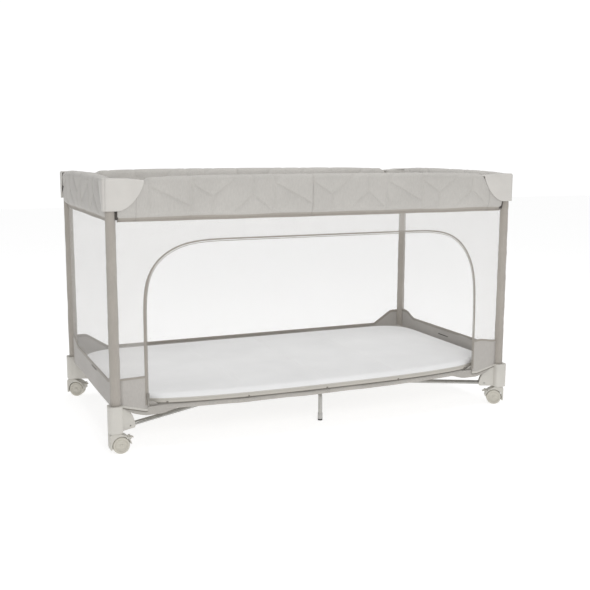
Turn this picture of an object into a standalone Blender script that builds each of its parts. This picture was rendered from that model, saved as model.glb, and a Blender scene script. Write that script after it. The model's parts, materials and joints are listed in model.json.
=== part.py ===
"""Folding playpen: a steel frame on casters that folds at its floor hub, its corners and its rail locks.

Everything is in metres, +X along the long sides, +Y to the back, +Z up, with the origin on the floor
below the middle. A corner piece is modelled once, at the corner where X and Y are positive, and the
other corners mirror it.
"""
import math

import bmesh
import bpy
from mathutils import Matrix, Vector

# Frame
LEG_X = 0.593               # half the distance between two legs' centres along X
LEG_Y = 0.300               # the same along Y
LEG_RADIUS = 0.0105
LEG_WALL = 0.0012
RAIL_Z = 0.690              # height of the top rails' centre line
RAIL_RADIUS = 0.008
RAIL_WALL = 0.0012
ARM_RADIUS = 0.006
ARM_WALL = 0.001
HUB_PIVOT = (0.050, 0.028)  # from the middle of the hub to an arm's pin
FOOT_INSET = (0.036, 0.020)  # from a leg's centre in to its arm's pin
CAP_INSET_X = 0.056         # from a leg's centre in to the long rail's pin
CAP_INSET_Y = 0.018         # from a leg's centre in to the short rail's pin
PAST_PIN = 0.008            # how far a tube runs on past its pin

# Pins and fits
PIN_RADIUS = 0.002
PIN_PLAY = 0.0003
FIT = 0.0003                # gap between two pieces that touch
CHEEK = 0.003               # thickness of the plates that hold a pin
CHEEK_PLAY = 0.0008         # gap between such a plate and the tube

# Casters
WHEEL_RADIUS = 0.0225
WHEEL_TRAIL = 0.010
WHEEL_INNER = 0.0032        # from the middle of the caster to a wheel's inner face
WHEEL_OUTER = 0.0150
AXLE_RADIUS = 0.003
HOOD_GAP = 0.0018
HOOD_WALL = 0.0032
HOOD_TOP = 2 * WHEEL_RADIUS + 0.010
HOOD_HALF = 0.0155
HOOD_FRONT = WHEEL_TRAIL - WHEEL_RADIUS - HOOD_GAP - 0.0042
STEM_RADIUS = 0.004
LEVER_RADIUS = WHEEL_RADIUS + 0.009  # from the axle to the brake lever's pin
LEVER_ANGLE = math.radians(35)
EAR_RADIUS = 0.0032
LEVER_PIN_RADIUS = 0.0012
CASTER_TURN = {"front_left": 0, "front_right": 150, "back_left": -31, "back_right": 200}

# Feet
FOOT_BOTTOM = HOOD_TOP + 0.0015
FOOT_TOP = FOOT_BOTTOM + 0.0705
FOOT_HALF = LEG_RADIUS + 0.010  # from the leg's centre to the foot's outer faces
FOOT_INNER_SHARE = 0.8      # how much of that its inner faces are from the leg's centre
FIN_LENGTH = 0.058          # from the leg's centre to the fin's tip
FIN_UP = 0.0005             # from the foot's underside up to the fin's
STEM_TOP = FOOT_BOTTOM + 0.017
LEG_SEAT = STEM_TOP + 0.0045
ARM_Z = FOOT_BOTTOM + 0.009  # height of the floor arms' centre line

# Hub
HUB_PLATE = (0.064, 0.054)  # half sizes
HUB_PLATE_GAP = 0.0115      # from the pins up to the plate
HUB_PLATE_THICKNESS = 0.006
SUPPORT_PIVOT = (0.014, 0.040)
SUPPORT_FROM_LEG = 0.054    # from the legs' line in to its upright
SUPPORT_RADIUS = 0.0063
SUPPORT_TOP = ARM_Z + 0.0185  # height of its bend
TIP_HEIGHT = 0.022
TIP_WALL = 0.0025

# Corner caps
CAP_X = 0.029               # from a leg's centre to the cap's outer face along X
CAP_Y = 0.035
CAP_LENGTH = 0.117
CAP_DEPTH = 0.0625
CAP_TOP = RAIL_Z + RAIL_RADIUS + 0.009
CAP_BOTTOM = CAP_TOP - 0.081
CAP_WALL = 0.003
CAP_CORNER = 0.014
CAP_CUT = 1.65              # power of the curve that cuts its front and side plates
SOCKET_TOP = CAP_BOTTOM + 0.022
SOCKET_RADIUS = LEG_RADIUS + FIT + 0.0034
LEG_TOP = CAP_BOTTOM + 0.038

# Centre locks
LOCK_HALF = 0.016
LOCK_CHEEK_PAST = 0.020     # how far its plates run on past the pins
LOCK_BOTTOM = RAIL_Z - RAIL_RADIUS - 0.008
LOCK_TOP = RAIL_Z + RAIL_RADIUS + 0.006
BUTTON_BOTTOM = LOCK_BOTTOM - 0.015
BUTTON_HEIGHT = 0.008
BUTTON_STEM = 0.003

# Soft parts
COVER_TOP = RAIL_Z + RAIL_RADIUS + 0.017
COVER_BOTTOM = COVER_TOP - 0.112
COVER_CAVITY = RAIL_RADIUS + CHEEK_PLAY + CHEEK + 0.0067
COVER_HALF = COVER_CAVITY + 0.008
COVER_CAVITY_TOP = LOCK_TOP + 0.0005
COVER_CAVITY_BOTTOM = LOCK_BOTTOM - 0.029
COVER_UNDER_CAP = CAP_TOP - CAP_WALL - 0.004
COVER_SHORT_OF_LEG = LEG_RADIUS + 0.0105  # along a long side
COVER_SHORT_OF_CAP = 0.001  # along a short side
COVER_HEM = 0.005           # radius of its narrow lower edge
WALL_THICKNESS = 0.003
WALL_SHORT_OF_LEG = LEG_RADIUS + 0.003
DOOR_LEFT = LEG_X - 0.085
DOOR_RIGHT = LEG_X - 0.096
DOOR_TOP = COVER_BOTTOM - 0.060
DOOR_ROUND = 0.075
FLOOR_BOTTOM = ARM_Z + 0.0415
FLOOR_TOP = FLOOR_BOTTOM + 0.010
MATTRESS_TOP = FLOOR_TOP + 0.029
MATTRESS_SIDE_GAP = 0.008   # from a leg's centre line in to the mattress
MATTRESS_CORNER = 0.11
MATTRESS_BULGE = 0.033      # how far its front edge comes out past the legs' centre line
SLIDER_SIZE = (0.008, 0.0035, 0.016)
SLIDER_Z = FLOOR_TOP + 0.018

# Worked out from the values above
REACH_X = LEG_X - FOOT_INSET[0] - HUB_PIVOT[0]
REACH_Y = LEG_Y - FOOT_INSET[1] - HUB_PIVOT[1]
PLAN = math.atan2(REACH_Y, REACH_X)
LOCK_PIN_X = LEG_X - CAP_INSET_X - REACH_X
LOCK_PIN_Y = LEG_Y - CAP_INSET_Y - REACH_Y
SUPPORT_OUT = LEG_Y - SUPPORT_FROM_LEG
CORNERS = {
    "front_left": (-1, -1),
    "front_right": (1, -1),
    "back_left": (-1, 1),
    "back_right": (1, 1),
}
HALF_TURN = math.radians(180)
WALL_BOTTOM = FLOOR_TOP + 0.0015

MATERIALS = {
    "frame_plastic": ((0.68, 0.66, 0.63), 0.45, 0.0),
    "painted_tube": ((0.42, 0.39, 0.36), 0.5, 0.1),
    "bare_steel": ((0.52, 0.51, 0.49), 0.35, 0.9),
    "wheel_plastic": ((0.56, 0.54, 0.48), 0.4, 0.0),
    "dark_rubber": ((0.08, 0.08, 0.08), 0.8, 0.0),
    "button_red": ((0.55, 0.10, 0.08), 0.4, 0.0),
    "cover_fabric": ((0.60, 0.58, 0.53), 0.9, 0.0),
    "mesh_fabric": ((0.90, 0.90, 0.90), 0.9, 0.0),
    "floor_fabric": ((0.45, 0.42, 0.38), 0.9, 0.0),
    "mattress_fabric": ((0.86, 0.86, 0.86), 0.9, 0.0),
    "zip_metal": ((0.45, 0.44, 0.42), 0.3, 1.0),
}


def clear_scene():
    for thing in list(bpy.data.objects):
        bpy.data.objects.remove(thing)


def new_collection(name):
    collection = bpy.data.collections.new(name)
    bpy.context.scene.collection.children.link(collection)
    return collection


def material(name):
    """The named material, a Principled BSDF, made on first use."""
    if name in bpy.data.materials:
        return bpy.data.materials[name]
    colour, roughness, metallic = MATERIALS[name]
    made = bpy.data.materials.new(name)
    made.use_nodes = True
    shader = made.node_tree.nodes["Principled BSDF"]
    shader.inputs["Base Color"].default_value = (*colour, 1)
    shader.inputs["Roughness"].default_value = roughness
    shader.inputs["Metallic"].default_value = metallic
    made.diffuse_color = (*colour, 1)
    return made


def linked(data, matrix=None):
    """A working object that holds data, linked so that it can be evaluated."""
    thing = bpy.data.objects.new("working", data)
    PARTS.objects.link(thing)
    if matrix is not None:
        thing.matrix_world = matrix
    return thing


def from_bmesh(bm):
    mesh = bpy.data.meshes.new("working")
    bmesh.ops.recalc_face_normals(bm, faces=bm.faces)
    bm.to_mesh(mesh)
    bm.free()
    return linked(mesh)


def box(low, high, round_by=0.0, steps=2):
    """A box between two corners, with its edges rounded if round_by is given."""
    low, high = Vector(low), Vector(high)
    bm = bmesh.new()
    size = Matrix.Diagonal((*(high - low), 1))
    bmesh.ops.create_cube(bm, size=1, matrix=Matrix.Translation((low + high) / 2) @ size)
    if round_by:
        bmesh.ops.bevel(bm, geom=bm.edges[:], offset=round_by, segments=steps, profile=0.5, affect="EDGES")
    return from_bmesh(bm)


def rod(start, end, radius, sides=16):
    start, end = Vector(start), Vector(end)
    along = end - start
    turn = along.to_track_quat("Z", "Y").to_matrix().to_4x4()
    bm = bmesh.new()
    bmesh.ops.create_cone(
        bm, cap_ends=True, segments=sides, radius1=radius, radius2=radius, depth=along.length,
        matrix=Matrix.Translation((start + end) / 2) @ turn,
    )
    return from_bmesh(bm)


def turned(profile, sides, matrix=None):
    """A solid turned about the local Z axis. The profile is (radius, height), from axis to axis."""
    bm = bmesh.new()
    points = [bm.verts.new((radius, 0, height)) for radius, height in profile]
    edges = [bm.edges.new(pair) for pair in zip(points, points[1:])]
    bmesh.ops.spin(
        bm, geom=points + edges, axis=(0, 0, 1), cent=(0, 0, 0), dvec=(0, 0, 0),
        angle=2 * HALF_TURN, steps=sides, use_duplicate=False,
    )
    bmesh.ops.remove_doubles(bm, verts=bm.verts, dist=1e-6)
    solid = from_bmesh(bm)
    if matrix is not None:
        solid.matrix_world = matrix
    return solid


def as_mesh(curve):
    """The curve object as a closed mesh object, in the curve's place."""
    bpy.context.view_layer.update()
    graph = bpy.context.evaluated_depsgraph_get()
    mesh = bpy.data.meshes.new_from_object(curve.evaluated_get(graph))
    bm = bmesh.new()
    bm.from_mesh(mesh)
    bmesh.ops.remove_doubles(bm, verts=bm.verts, dist=1e-6)
    bmesh.ops.recalc_face_normals(bm, faces=bm.faces)
    bm.to_mesh(mesh)
    bm.free()
    solid = linked(mesh, curve.matrix_world)
    bpy.data.objects.remove(curve)
    return solid


def poly_spline(curve, points, closed):
    spline = curve.splines.new("POLY")
    spline.points.add(len(points) - 1)
    for point, place in zip(spline.points, points):
        point.co = (*place, 1)
    spline.use_cyclic_u = closed


# How a prism's outline axes and its thickness lie in the world
ALONG_Z = Matrix.Identity(3)
ALONG_Y = Matrix(((1, 0, 0), (0, 0, -1), (0, 1, 0)))
ALONG_X = Matrix(((0, 0, 1), (1, 0, 0), (0, 1, 0)))


def prism(outlines, low, high, turn=ALONG_Z, origin=(0, 0, 0)):
    """Flat outlines, the first the outside and the others holes, made solid from low to high."""
    curve = bpy.data.curves.new("working", "CURVE")
    curve.dimensions = "2D"
    curve.fill_mode = "BOTH"
    curve.extrude = (high - low) / 2
    for outline in outlines:
        poly_spline(curve, [(u, v, 0) for u, v in outline], True)
    middle = turn @ Vector((0, 0, (low + high) / 2))
    # the thickness runs along -Y for ALONG_Y, so its middle is put back on the +Y side
    if turn is ALONG_Y:
        middle = -middle
    return as_mesh(linked(curve, Matrix.Translation(middle + Vector(origin)) @ turn.to_4x4()))


def pipe(points, radius, steps=2):
    curve = bpy.data.curves.new("working", "CURVE")
    curve.dimensions = "3D"
    curve.bevel_depth = radius
    curve.bevel_resolution = steps
    curve.use_fill_caps = True
    poly_spline(curve, points, False)
    return as_mesh(linked(curve))


def shaped(body, add=(), cut=(), keep=()):
    """The body with some solids added, others cut out, and only what lies inside the kept ones."""
    steps = [(x, "UNION") for x in add] + [(x, "DIFFERENCE") for x in cut] + [(x, "INTERSECT") for x in keep]
    for other, operation in steps:
        boolean = body.modifiers.new(operation.lower(), "BOOLEAN")
        boolean.operation = operation
        boolean.object = other
    bpy.context.view_layer.update()
    graph = bpy.context.evaluated_depsgraph_get()
    solid = linked(bpy.data.meshes.new_from_object(body.evaluated_get(graph)), body.matrix_world)
    for used in (body, *(other for other, _ in steps)):
        bpy.data.objects.remove(used)
    return solid


def arc(centre, radius, start, end, steps):
    """Points on a circle from one angle to another, in degrees."""
    angles = [math.radians(start + (end - start) * i / steps) for i in range(steps + 1)]
    return [(centre[0] + radius * math.cos(a), centre[1] + radius * math.sin(a)) for a in angles]


def rounded_rectangle(low, high, radius, steps=4):
    (x0, y0), (x1, y1) = low, high
    corners = [
        ((x1 - radius, y1 - radius), 0), ((x0 + radius, y1 - radius), 90),
        ((x0 + radius, y0 + radius), 180), ((x1 - radius, y0 + radius), 270),
    ]
    return [p for centre, start in corners for p in arc(centre, radius, start, start + 90, steps)]


def swoop(steep_end, flat_end, power, steps=8):
    """A quarter of a superellipse, upright where it leaves one end and level where it meets the other."""
    (x0, z0), (x1, z1) = steep_end, flat_end
    points = []
    for i in range(steps + 1):
        angle = math.radians(90) * i / steps
        across = 1 - math.cos(angle) ** (2 / power)
        down = math.sin(angle) ** (2 / power)
        points.append((x0 + (x1 - x0) * across, z0 + (z1 - z0) * down))
    return points


def place(name, solid, slot, origin, at=None, scale=(1, 1, 1), turn=0.0, keep=False):
    """A finished object made from a working solid, with its origin at a point of the solid.

    The origin is then set down at another place, if at is given, and the working solid is removed
    unless it is kept for another copy.
    """
    mesh = solid.data.copy()
    mesh.transform(Matrix.Translation(-Vector(origin)) @ solid.matrix_world)
    mesh.name = name
    mesh.materials.clear()
    mesh.materials.append(material(slot))
    made = bpy.data.objects.new(name, mesh)
    made.location = at or origin
    made.scale = scale
    made.rotation_euler = (0, 0, turn)
    PARTS.objects.link(made)
    if not keep:
        bpy.data.objects.remove(solid)
    return made


def four_corners(stem, solid, slot, origin):
    """The corner piece at all four corners, each with its origin on its own joint."""
    for corner, (sx, sy) in CORNERS.items():
        at = (sx * origin[0], sy * origin[1], origin[2])
        place(f"{stem}_{corner}", solid, slot, origin, at, (sx, sy, 1), keep=True)
    bpy.data.objects.remove(solid)


def beam(points_along, radius, wall):
    """An open tube between two points."""
    start, end = (Vector(p) for p in points_along)
    past = (end - start).normalized() * 0.001
    return shaped(rod(start, end, radius), cut=[rod(start - past, end + past, radius - wall, 12)])


def cross_pin(centre, across, half_length):
    across = Vector(across).normalized() * half_length
    return rod(Vector(centre) - across, Vector(centre) + across, PIN_RADIUS, 10)


def pin_hole(centre, across, half_length):
    across = Vector(across).normalized() * half_length
    return rod(Vector(centre) - across, Vector(centre) + across, PIN_RADIUS + PIN_PLAY, 10)


def clevis(centre, along, tube_radius, low, high, half_length):
    """Two upright plates on either side of a tube's pin, as working solids."""
    along = Vector(along).normalized()
    turn = Matrix((along, Vector((0, 0, 1)).cross(along), (0, 0, 1))).transposed().to_4x4()
    inner = tube_radius + CHEEK_PLAY
    plates = []
    for side in (-1, 1):
        edges = sorted((side * inner, side * (inner + CHEEK)))
        plate = box((-half_length, edges[0], low), (half_length, edges[1], high))
        plate.matrix_world = Matrix.Translation((centre[0], centre[1], 0)) @ turn
        plates.append(plate)
    return plates


# ---------------------------------------------------------------- floor frame

def pin_reach(tube_radius):
    """Half the length of a pin that ends just inside its plates' outer faces."""
    return tube_radius + CHEEK_PLAY + CHEEK - FIT


def hub():
    bottom = ARM_Z + HUB_PLATE_GAP
    outline = rounded_rectangle((-HUB_PLATE[0], -HUB_PLATE[1]), HUB_PLATE, 0.02)
    body = prism([outline], bottom, bottom + HUB_PLATE_THICKNESS)
    plates, holes = [], []
    for sx, sy in CORNERS.values():
        centre = (sx * HUB_PIVOT[0], sy * HUB_PIVOT[1], ARM_Z)
        along = (sx * math.cos(PLAN), sy * math.sin(PLAN), 0)
        plates += clevis(centre, along, ARM_RADIUS, ARM_Z - 0.007, bottom + 0.002, 0.008)
        holes.append(pin_hole(centre, (-along[1], along[0], 0), 0.02))
    for side in (-1, 1):
        centre = (-side * SUPPORT_PIVOT[0], side * SUPPORT_PIVOT[1], ARM_Z)
        plates += clevis(centre, (0, side, 0), SUPPORT_RADIUS, ARM_Z - 0.007, bottom + 0.002, 0.008)
        holes.append(pin_hole(centre, (1, 0, 0), 0.0125))
    place("floor_hub", shaped(body, add=plates, cut=holes), "frame_plastic", (0, 0, ARM_Z))


def arms():
    along = Vector((math.cos(PLAN), math.sin(PLAN), 0))
    across = Vector((-along.y, along.x, 0))
    start = Vector((*HUB_PIVOT, ARM_Z))
    end = Vector((LEG_X - FOOT_INSET[0], LEG_Y - FOOT_INSET[1], ARM_Z))
    tube = beam((start - along * PAST_PIN, end + along * PAST_PIN), ARM_RADIUS, ARM_WALL)
    half = pin_reach(ARM_RADIUS)
    solid = shaped(tube, add=[cross_pin(start, across, half), cross_pin(end, across, half)])
    four_corners("floor_arm", solid, "bare_steel", tuple(start))


def support_path():
    """The route of a support leg's tube: out from its pin, round a bend, and down to its tip."""
    x, y = SUPPORT_PIVOT
    out = SUPPORT_OUT
    bend = 0.016
    route = [(x, y - PAST_PIN, ARM_Z), (x, y + 0.012, ARM_Z), (x, y + 0.055, SUPPORT_TOP)]
    route += [
        (x, across, height)
        for across, height in arc((out - bend, SUPPORT_TOP - bend), bend, 90, 0, 5)
    ]
    return [*route, (x, out, TIP_WALL + FIT)]


def support_legs():
    route = support_path()
    x, y = SUPPORT_PIVOT
    out = SUPPORT_OUT
    half = pin_reach(SUPPORT_RADIUS)
    leg = shaped(pipe(route, SUPPORT_RADIUS), add=[cross_pin((x, y, ARM_Z), (1, 0, 0), half)])
    outer = rod((x, out, 0), (x, out, TIP_HEIGHT), SUPPORT_RADIUS + TIP_WALL)
    hole = rod((x, out, TIP_WALL), (x, out, TIP_HEIGHT + 0.001), SUPPORT_RADIUS + FIT)
    tip = shaped(outer, cut=[hole])
    for side, sx, sy in (("front", 1, -1), ("back", -1, 1)):
        pivot = (sx * x, sy * y, ARM_Z)
        scale = (sx, sy, 1)
        place(f"support_leg_{side}", leg, "bare_steel", (x, y, ARM_Z), pivot, scale, keep=True)
        place(f"support_tip_{side}", tip, "dark_rubber", (x, y, ARM_Z), pivot, scale, keep=True)
    bpy.data.objects.remove(leg)
    bpy.data.objects.remove(tip)


# ---------------------------------------------------------------- corners

def inward_turn():
    """Local X inward along the arm, local Y up, local Z across."""
    inward = Vector((-math.cos(PLAN), -math.sin(PLAN), 0))
    up = Vector((0, 0, 1))
    return Matrix((inward, up, inward.cross(up))).transposed()


def feet():
    pin = Vector((LEG_X - FOOT_INSET[0], LEG_Y - FOOT_INSET[1], ARM_Z))
    inward = Vector((-math.cos(PLAN), -math.sin(PLAN), 0))
    across = Vector((-inward.y, inward.x, 0))
    back_to_leg = FOOT_INSET[0] * math.cos(PLAN) + FOOT_INSET[1] * math.sin(PLAN)
    origin = Vector((pin.x, pin.y, 0)) - inward * back_to_leg
    slot_half = ARM_RADIUS + CHEEK_PLAY
    low, high = FOOT_BOTTOM + FIN_UP, FOOT_TOP - 0.004
    outline = [(-0.002, low), (-0.002, high)]
    outline += swoop((FIN_LENGTH, low + 0.0035), (0.016, high), 1.6)[::-1]
    outline.append((FIN_LENGTH - 0.003, low))
    width = slot_half + CHEEK + 0.0005
    fin = prism([outline], -width, width, inward_turn(), origin)
    reach = (LEG_X + FOOT_HALF, LEG_Y + FOOT_HALF)
    inset = FOOT_HALF * FOOT_INNER_SHARE
    inner = (LEG_X - inset, LEG_Y - inset)
    block = prism([rounded_rectangle(inner, reach, 0.010)], FOOT_BOTTOM, FOOT_TOP)
    opened = box((back_to_leg - 0.0125, FOOT_BOTTOM - 0.001, -slot_half), (0.1, FOOT_TOP, slot_half))
    opened.matrix_world = Matrix.Translation(origin) @ inward_turn().to_4x4()
    seat = rod((LEG_X, LEG_Y, LEG_SEAT), (LEG_X, LEG_Y, FOOT_TOP + 0.001), LEG_RADIUS + FIT)
    bore = rod((LEG_X, LEG_Y, FOOT_BOTTOM - 0.005), (LEG_X, LEG_Y, STEM_TOP + 0.001), STEM_RADIUS + FIT, 12)
    hole = pin_hole(pin, across, 0.03)
    solid = shaped(block, add=[fin], cut=[opened, seat, bore, hole])
    four_corners("corner_foot", solid, "frame_plastic", (LEG_X, LEG_Y, FOOT_BOTTOM))


def legs():
    ends = ((LEG_X, LEG_Y, LEG_SEAT + FIT), (LEG_X, LEG_Y, LEG_TOP))
    four_corners("leg_tube", beam(ends, LEG_RADIUS, LEG_WALL), "painted_tube", ends[0])


def cap_outline(inset, past=0.0):
    """The cap's plan, with a rounded outer corner, drawn in by inset and run past its open sides."""
    x1, y1 = LEG_X + CAP_X - inset, LEG_Y + CAP_Y - inset
    x0, y0 = LEG_X + CAP_X - CAP_LENGTH - past, LEG_Y + CAP_Y - CAP_DEPTH - past
    radius = CAP_CORNER - inset
    corner = arc((x1 - radius, y1 - radius), radius, 0, 90, 5)
    return [(x1, y0), *corner, (x0, y1), (x0, y0)]


def caps():
    x1, y1 = LEG_X + CAP_X, LEG_Y + CAP_Y
    x0, y0 = x1 - CAP_LENGTH, y1 - CAP_DEPTH
    block = prism([cap_outline(0)], CAP_BOTTOM, CAP_TOP)
    front = [(x1 + 0.01, CAP_BOTTOM - 0.01), (x1 + 0.01, CAP_TOP + 0.01), (x0 + 0.003, CAP_TOP + 0.01)]
    front += swoop((x0 + 0.003, CAP_TOP), (x0 + 0.070, CAP_BOTTOM), CAP_CUT)
    front.append((x0 + 0.070, CAP_BOTTOM - 0.01))
    side = [(y1 + 0.01, CAP_BOTTOM - 0.01), (y1 + 0.01, CAP_TOP + 0.01), (y0 + 0.001, CAP_TOP + 0.01)]
    side += swoop((y0 + 0.001, CAP_TOP), (y0 + 0.040, CAP_BOTTOM), CAP_CUT, 6)
    side.append((y0 + 0.040, CAP_BOTTOM - 0.01))
    shell = shaped(
        block,
        keep=[prism([front], y0 - 0.02, y1 + 0.02, ALONG_Y), prism([side], x0 - 0.02, x1 + 0.02, ALONG_X)],
    )
    shell = shaped(shell, cut=[prism([cap_outline(CAP_WALL, 0.01)], CAP_BOTTOM - 0.02, CAP_TOP - CAP_WALL)])
    ring = rod((LEG_X, LEG_Y, CAP_BOTTOM), (LEG_X, LEG_Y, SOCKET_TOP), SOCKET_RADIUS)
    web_x = box((LEG_X, LEG_Y - 0.006, CAP_BOTTOM + 0.001), (x1 - 0.001, LEG_Y + 0.006, SOCKET_TOP - 0.001))
    web_y = box((LEG_X - 0.006, LEG_Y, CAP_BOTTOM + 0.002), (LEG_X + 0.006, y1 - 0.001, SOCKET_TOP - 0.002))
    ear_top = CAP_TOP - 0.001
    x_pin = (LEG_X - CAP_INSET_X, LEG_Y, RAIL_Z)
    y_pin = (LEG_X, LEG_Y - CAP_INSET_Y, RAIL_Z)
    ears = clevis(x_pin, (1, 0, 0), RAIL_RADIUS, RAIL_Z - RAIL_RADIUS, ear_top, 0.010)
    ears += clevis(y_pin, (0, 1, 0), RAIL_RADIUS, RAIL_Z - RAIL_RADIUS, ear_top, 0.0085)
    tube = rod((LEG_X, LEG_Y, CAP_BOTTOM - 0.01), (LEG_X, LEG_Y, SOCKET_TOP + 0.01), LEG_RADIUS + FIT)
    holes = [pin_hole(x_pin, (0, 1, 0), 0.016), pin_hole(y_pin, (1, 0, 0), 0.016)]
    solid = shaped(shell, add=[ring, web_x, web_y, *ears], cut=[tube, *holes])
    four_corners("corner_cap", solid, "frame_plastic", (LEG_X, LEG_Y, CAP_BOTTOM))


# ---------------------------------------------------------------- rails and locks

def half_rail(stem, cap_pin, lock_pin):
    """A tube from a cap's pin to a lock's pin, running on past both, with the pins through it."""
    cap_pin, lock_pin = Vector(cap_pin), Vector(lock_pin)
    past = (cap_pin - lock_pin).normalized() * PAST_PIN
    across = past.cross((0, 0, 1))
    pins = [cross_pin(pin, across, pin_reach(RAIL_RADIUS)) for pin in (cap_pin, lock_pin)]
    tube = beam((cap_pin + past, lock_pin - past), RAIL_RADIUS, RAIL_WALL)
    four_corners(stem, shaped(tube, add=pins), "bare_steel", tuple(cap_pin))


def rails():
    half_rail("long_rail", (LEG_X - CAP_INSET_X, LEG_Y, RAIL_Z), (LOCK_PIN_X, LEG_Y, RAIL_Z))
    half_rail("short_rail", (LEG_X, LEG_Y - CAP_INSET_Y, RAIL_Z), (LEG_X, LOCK_PIN_Y, RAIL_Z))


def lock(pin_distance):
    """A centre lock along X about the origin: a block between the rail ends, and two plates."""
    wide = RAIL_RADIUS + CHEEK_PLAY + CHEEK - 0.0005
    block = box((-LOCK_HALF, -wide, LOCK_BOTTOM), (LOCK_HALF, wide, LOCK_TOP), 0.002)
    length = pin_distance + LOCK_CHEEK_PAST
    plates = clevis((0, 0, 0), (1, 0, 0), RAIL_RADIUS, LOCK_BOTTOM + 0.004, LOCK_TOP - 0.003, length)
    bore = rod((0, 0, LOCK_BOTTOM - 0.01), (0, 0, LOCK_BOTTOM + 0.014), BUTTON_STEM + FIT, 12)
    holes = [pin_hole((side * pin_distance, 0, RAIL_Z), (0, 1, 0), 0.02) for side in (-1, 1)]
    return shaped(block, add=plates, cut=[bore, *holes])


def button():
    pad_top = BUTTON_BOTTOM + BUTTON_HEIGHT
    pad = box((-0.013, -0.0075, BUTTON_BOTTOM), (0.013, 0.0075, pad_top), 0.002)
    return shaped(pad, add=[rod((0, 0, pad_top - 0.002), (0, 0, LOCK_BOTTOM + 0.006), BUTTON_STEM, 12)])


def locks():
    sides = {
        "front": ((0, -LEG_Y), 0.0, LOCK_PIN_X),
        "back": ((0, LEG_Y), 0.0, LOCK_PIN_X),
        "left": ((-LEG_X, 0), HALF_TURN / 2, LOCK_PIN_Y),
        "right": ((LEG_X, 0), HALF_TURN / 2, LOCK_PIN_Y),
    }
    for side, (middle, turn, distance) in sides.items():
        # the origin is on the pin that the lock turns about, on its left or front end
        pin = Vector((-distance, 0, RAIL_Z))
        at = Matrix.Rotation(turn, 3, "Z") @ Vector((-distance, 0, 0)) + Vector((*middle, RAIL_Z))
        place(f"centre_lock_{side}", lock(distance), "frame_plastic", pin, at, turn=turn)
        place(f"release_button_{side}", button(), "button_red", (0, 0, 0), (*middle, 0), turn=turn)


# ---------------------------------------------------------------- casters

def caster_fork():
    """The caster's hood, web and stem, trailing along +X from its swivel axis at the origin."""
    axle = (WHEEL_TRAIL, WHEEL_RADIUS)
    inner = WHEEL_RADIUS + HOOD_GAP
    outline = arc(axle, inner, 5, 200, 14)
    tip = outline[-1][1]
    outline += [(HOOD_FRONT + 0.001, tip - 0.002), (HOOD_FRONT, tip + 0.004)]
    outline += arc((HOOD_FRONT + 0.006, HOOD_TOP - 0.006), 0.006, 180, 90, 3)
    outline += arc(axle, inner + HOOD_WALL, 80, 5, 6)[1:]
    # the flat top runs back to where the rear arc starts
    outline.insert(-6, (WHEEL_TRAIL - 0.002, HOOD_TOP))
    hood = prism([outline], -HOOD_HALF, HOOD_HALF, ALONG_Y)
    half_web = WHEEL_INNER - 0.0006
    web_top = HOOD_TOP - 0.006
    web_outline = [*arc(axle, 0.0062, 180, 360, 6), (axle[0] + 0.0085, web_top), (-0.010, web_top)]
    web = prism([web_outline], -half_web, half_web, ALONG_Y)
    stem = rod((0, 0, HOOD_TOP - 0.004), (0, 0, STEM_TOP), STEM_RADIUS, 12)
    pivot = lever_pivot()
    ears = []
    for side in (-1, 1):
        near, far = sorted((side * 0.0086, side * 0.0112))
        reach = math.degrees(LEVER_ANGLE)
        ear_outline = [*arc(pivot, EAR_RADIUS, reach - 90, reach + 90, 5), *foot_of_ear(pivot)]
        ears.append(prism([ear_outline], near, far, ALONG_Y))
    bore = rod((axle[0], -0.01, axle[1]), (axle[0], 0.01, axle[1]), AXLE_RADIUS + PIN_PLAY, 12)
    pin = rod((pivot[0], -0.02, pivot[1]), (pivot[0], 0.02, pivot[1]), LEVER_PIN_RADIUS + PIN_PLAY, 8)
    return shaped(hood, add=[web, stem, *ears], cut=[bore, pin])


def lever_pivot():
    return (
        WHEEL_TRAIL + LEVER_RADIUS * math.cos(LEVER_ANGLE),
        WHEEL_RADIUS + LEVER_RADIUS * math.sin(LEVER_ANGLE),
    )


def foot_of_ear(pivot):
    """The two points where an ear meets the hood."""
    along = Vector((math.cos(LEVER_ANGLE), math.sin(LEVER_ANGLE)))
    across = Vector((-along.y, along.x)) * EAR_RADIUS
    base = Vector((WHEEL_TRAIL, WHEEL_RADIUS)) + along * (WHEEL_RADIUS + HOOD_GAP + 0.0015)
    return [tuple(base + across), tuple(base - across)]


def caster_wheel():
    """Both wheels and their axle, turned about the local Z axis."""
    half = [
        (0.0, WHEEL_OUTER - 0.002), (0.012, WHEEL_OUTER - 0.002), (0.0135, WHEEL_OUTER),
        (WHEEL_RADIUS - 0.003, WHEEL_OUTER), (WHEEL_RADIUS, WHEEL_OUTER - 0.003),
        (WHEEL_RADIUS, WHEEL_INNER + 0.001), (WHEEL_RADIUS - 0.001, WHEEL_INNER),
        (AXLE_RADIUS, WHEEL_INNER),
    ]
    profile = half + [(radius, -height) for radius, height in reversed(half)]
    upright = Matrix.Translation((WHEEL_TRAIL, 0, WHEEL_RADIUS)) @ Matrix.Rotation(HALF_TURN / 2, 4, "X")
    return turned(profile, 28, upright)


def brake_lever():
    """A pedal on a barrel, with its pins, behind the hood."""
    x, z = lever_pivot()
    barrel = rod((x, -0.0082, z), (x, 0.0082, z), 0.0026, 12)
    pin = rod((x, -0.0110, z), (x, 0.0110, z), LEVER_PIN_RADIUS, 8)
    root = [(x, z + 0.0014), (x, z - 0.0012)]
    outline = [*root, (x + 0.0125, z - 0.0045), (x + 0.0133, z - 0.0030), (x + 0.0120, z - 0.0010)]
    pedal = prism([outline], -0.0078, 0.0078, ALONG_Y)
    return shaped(barrel, add=[pin, pedal])


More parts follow.
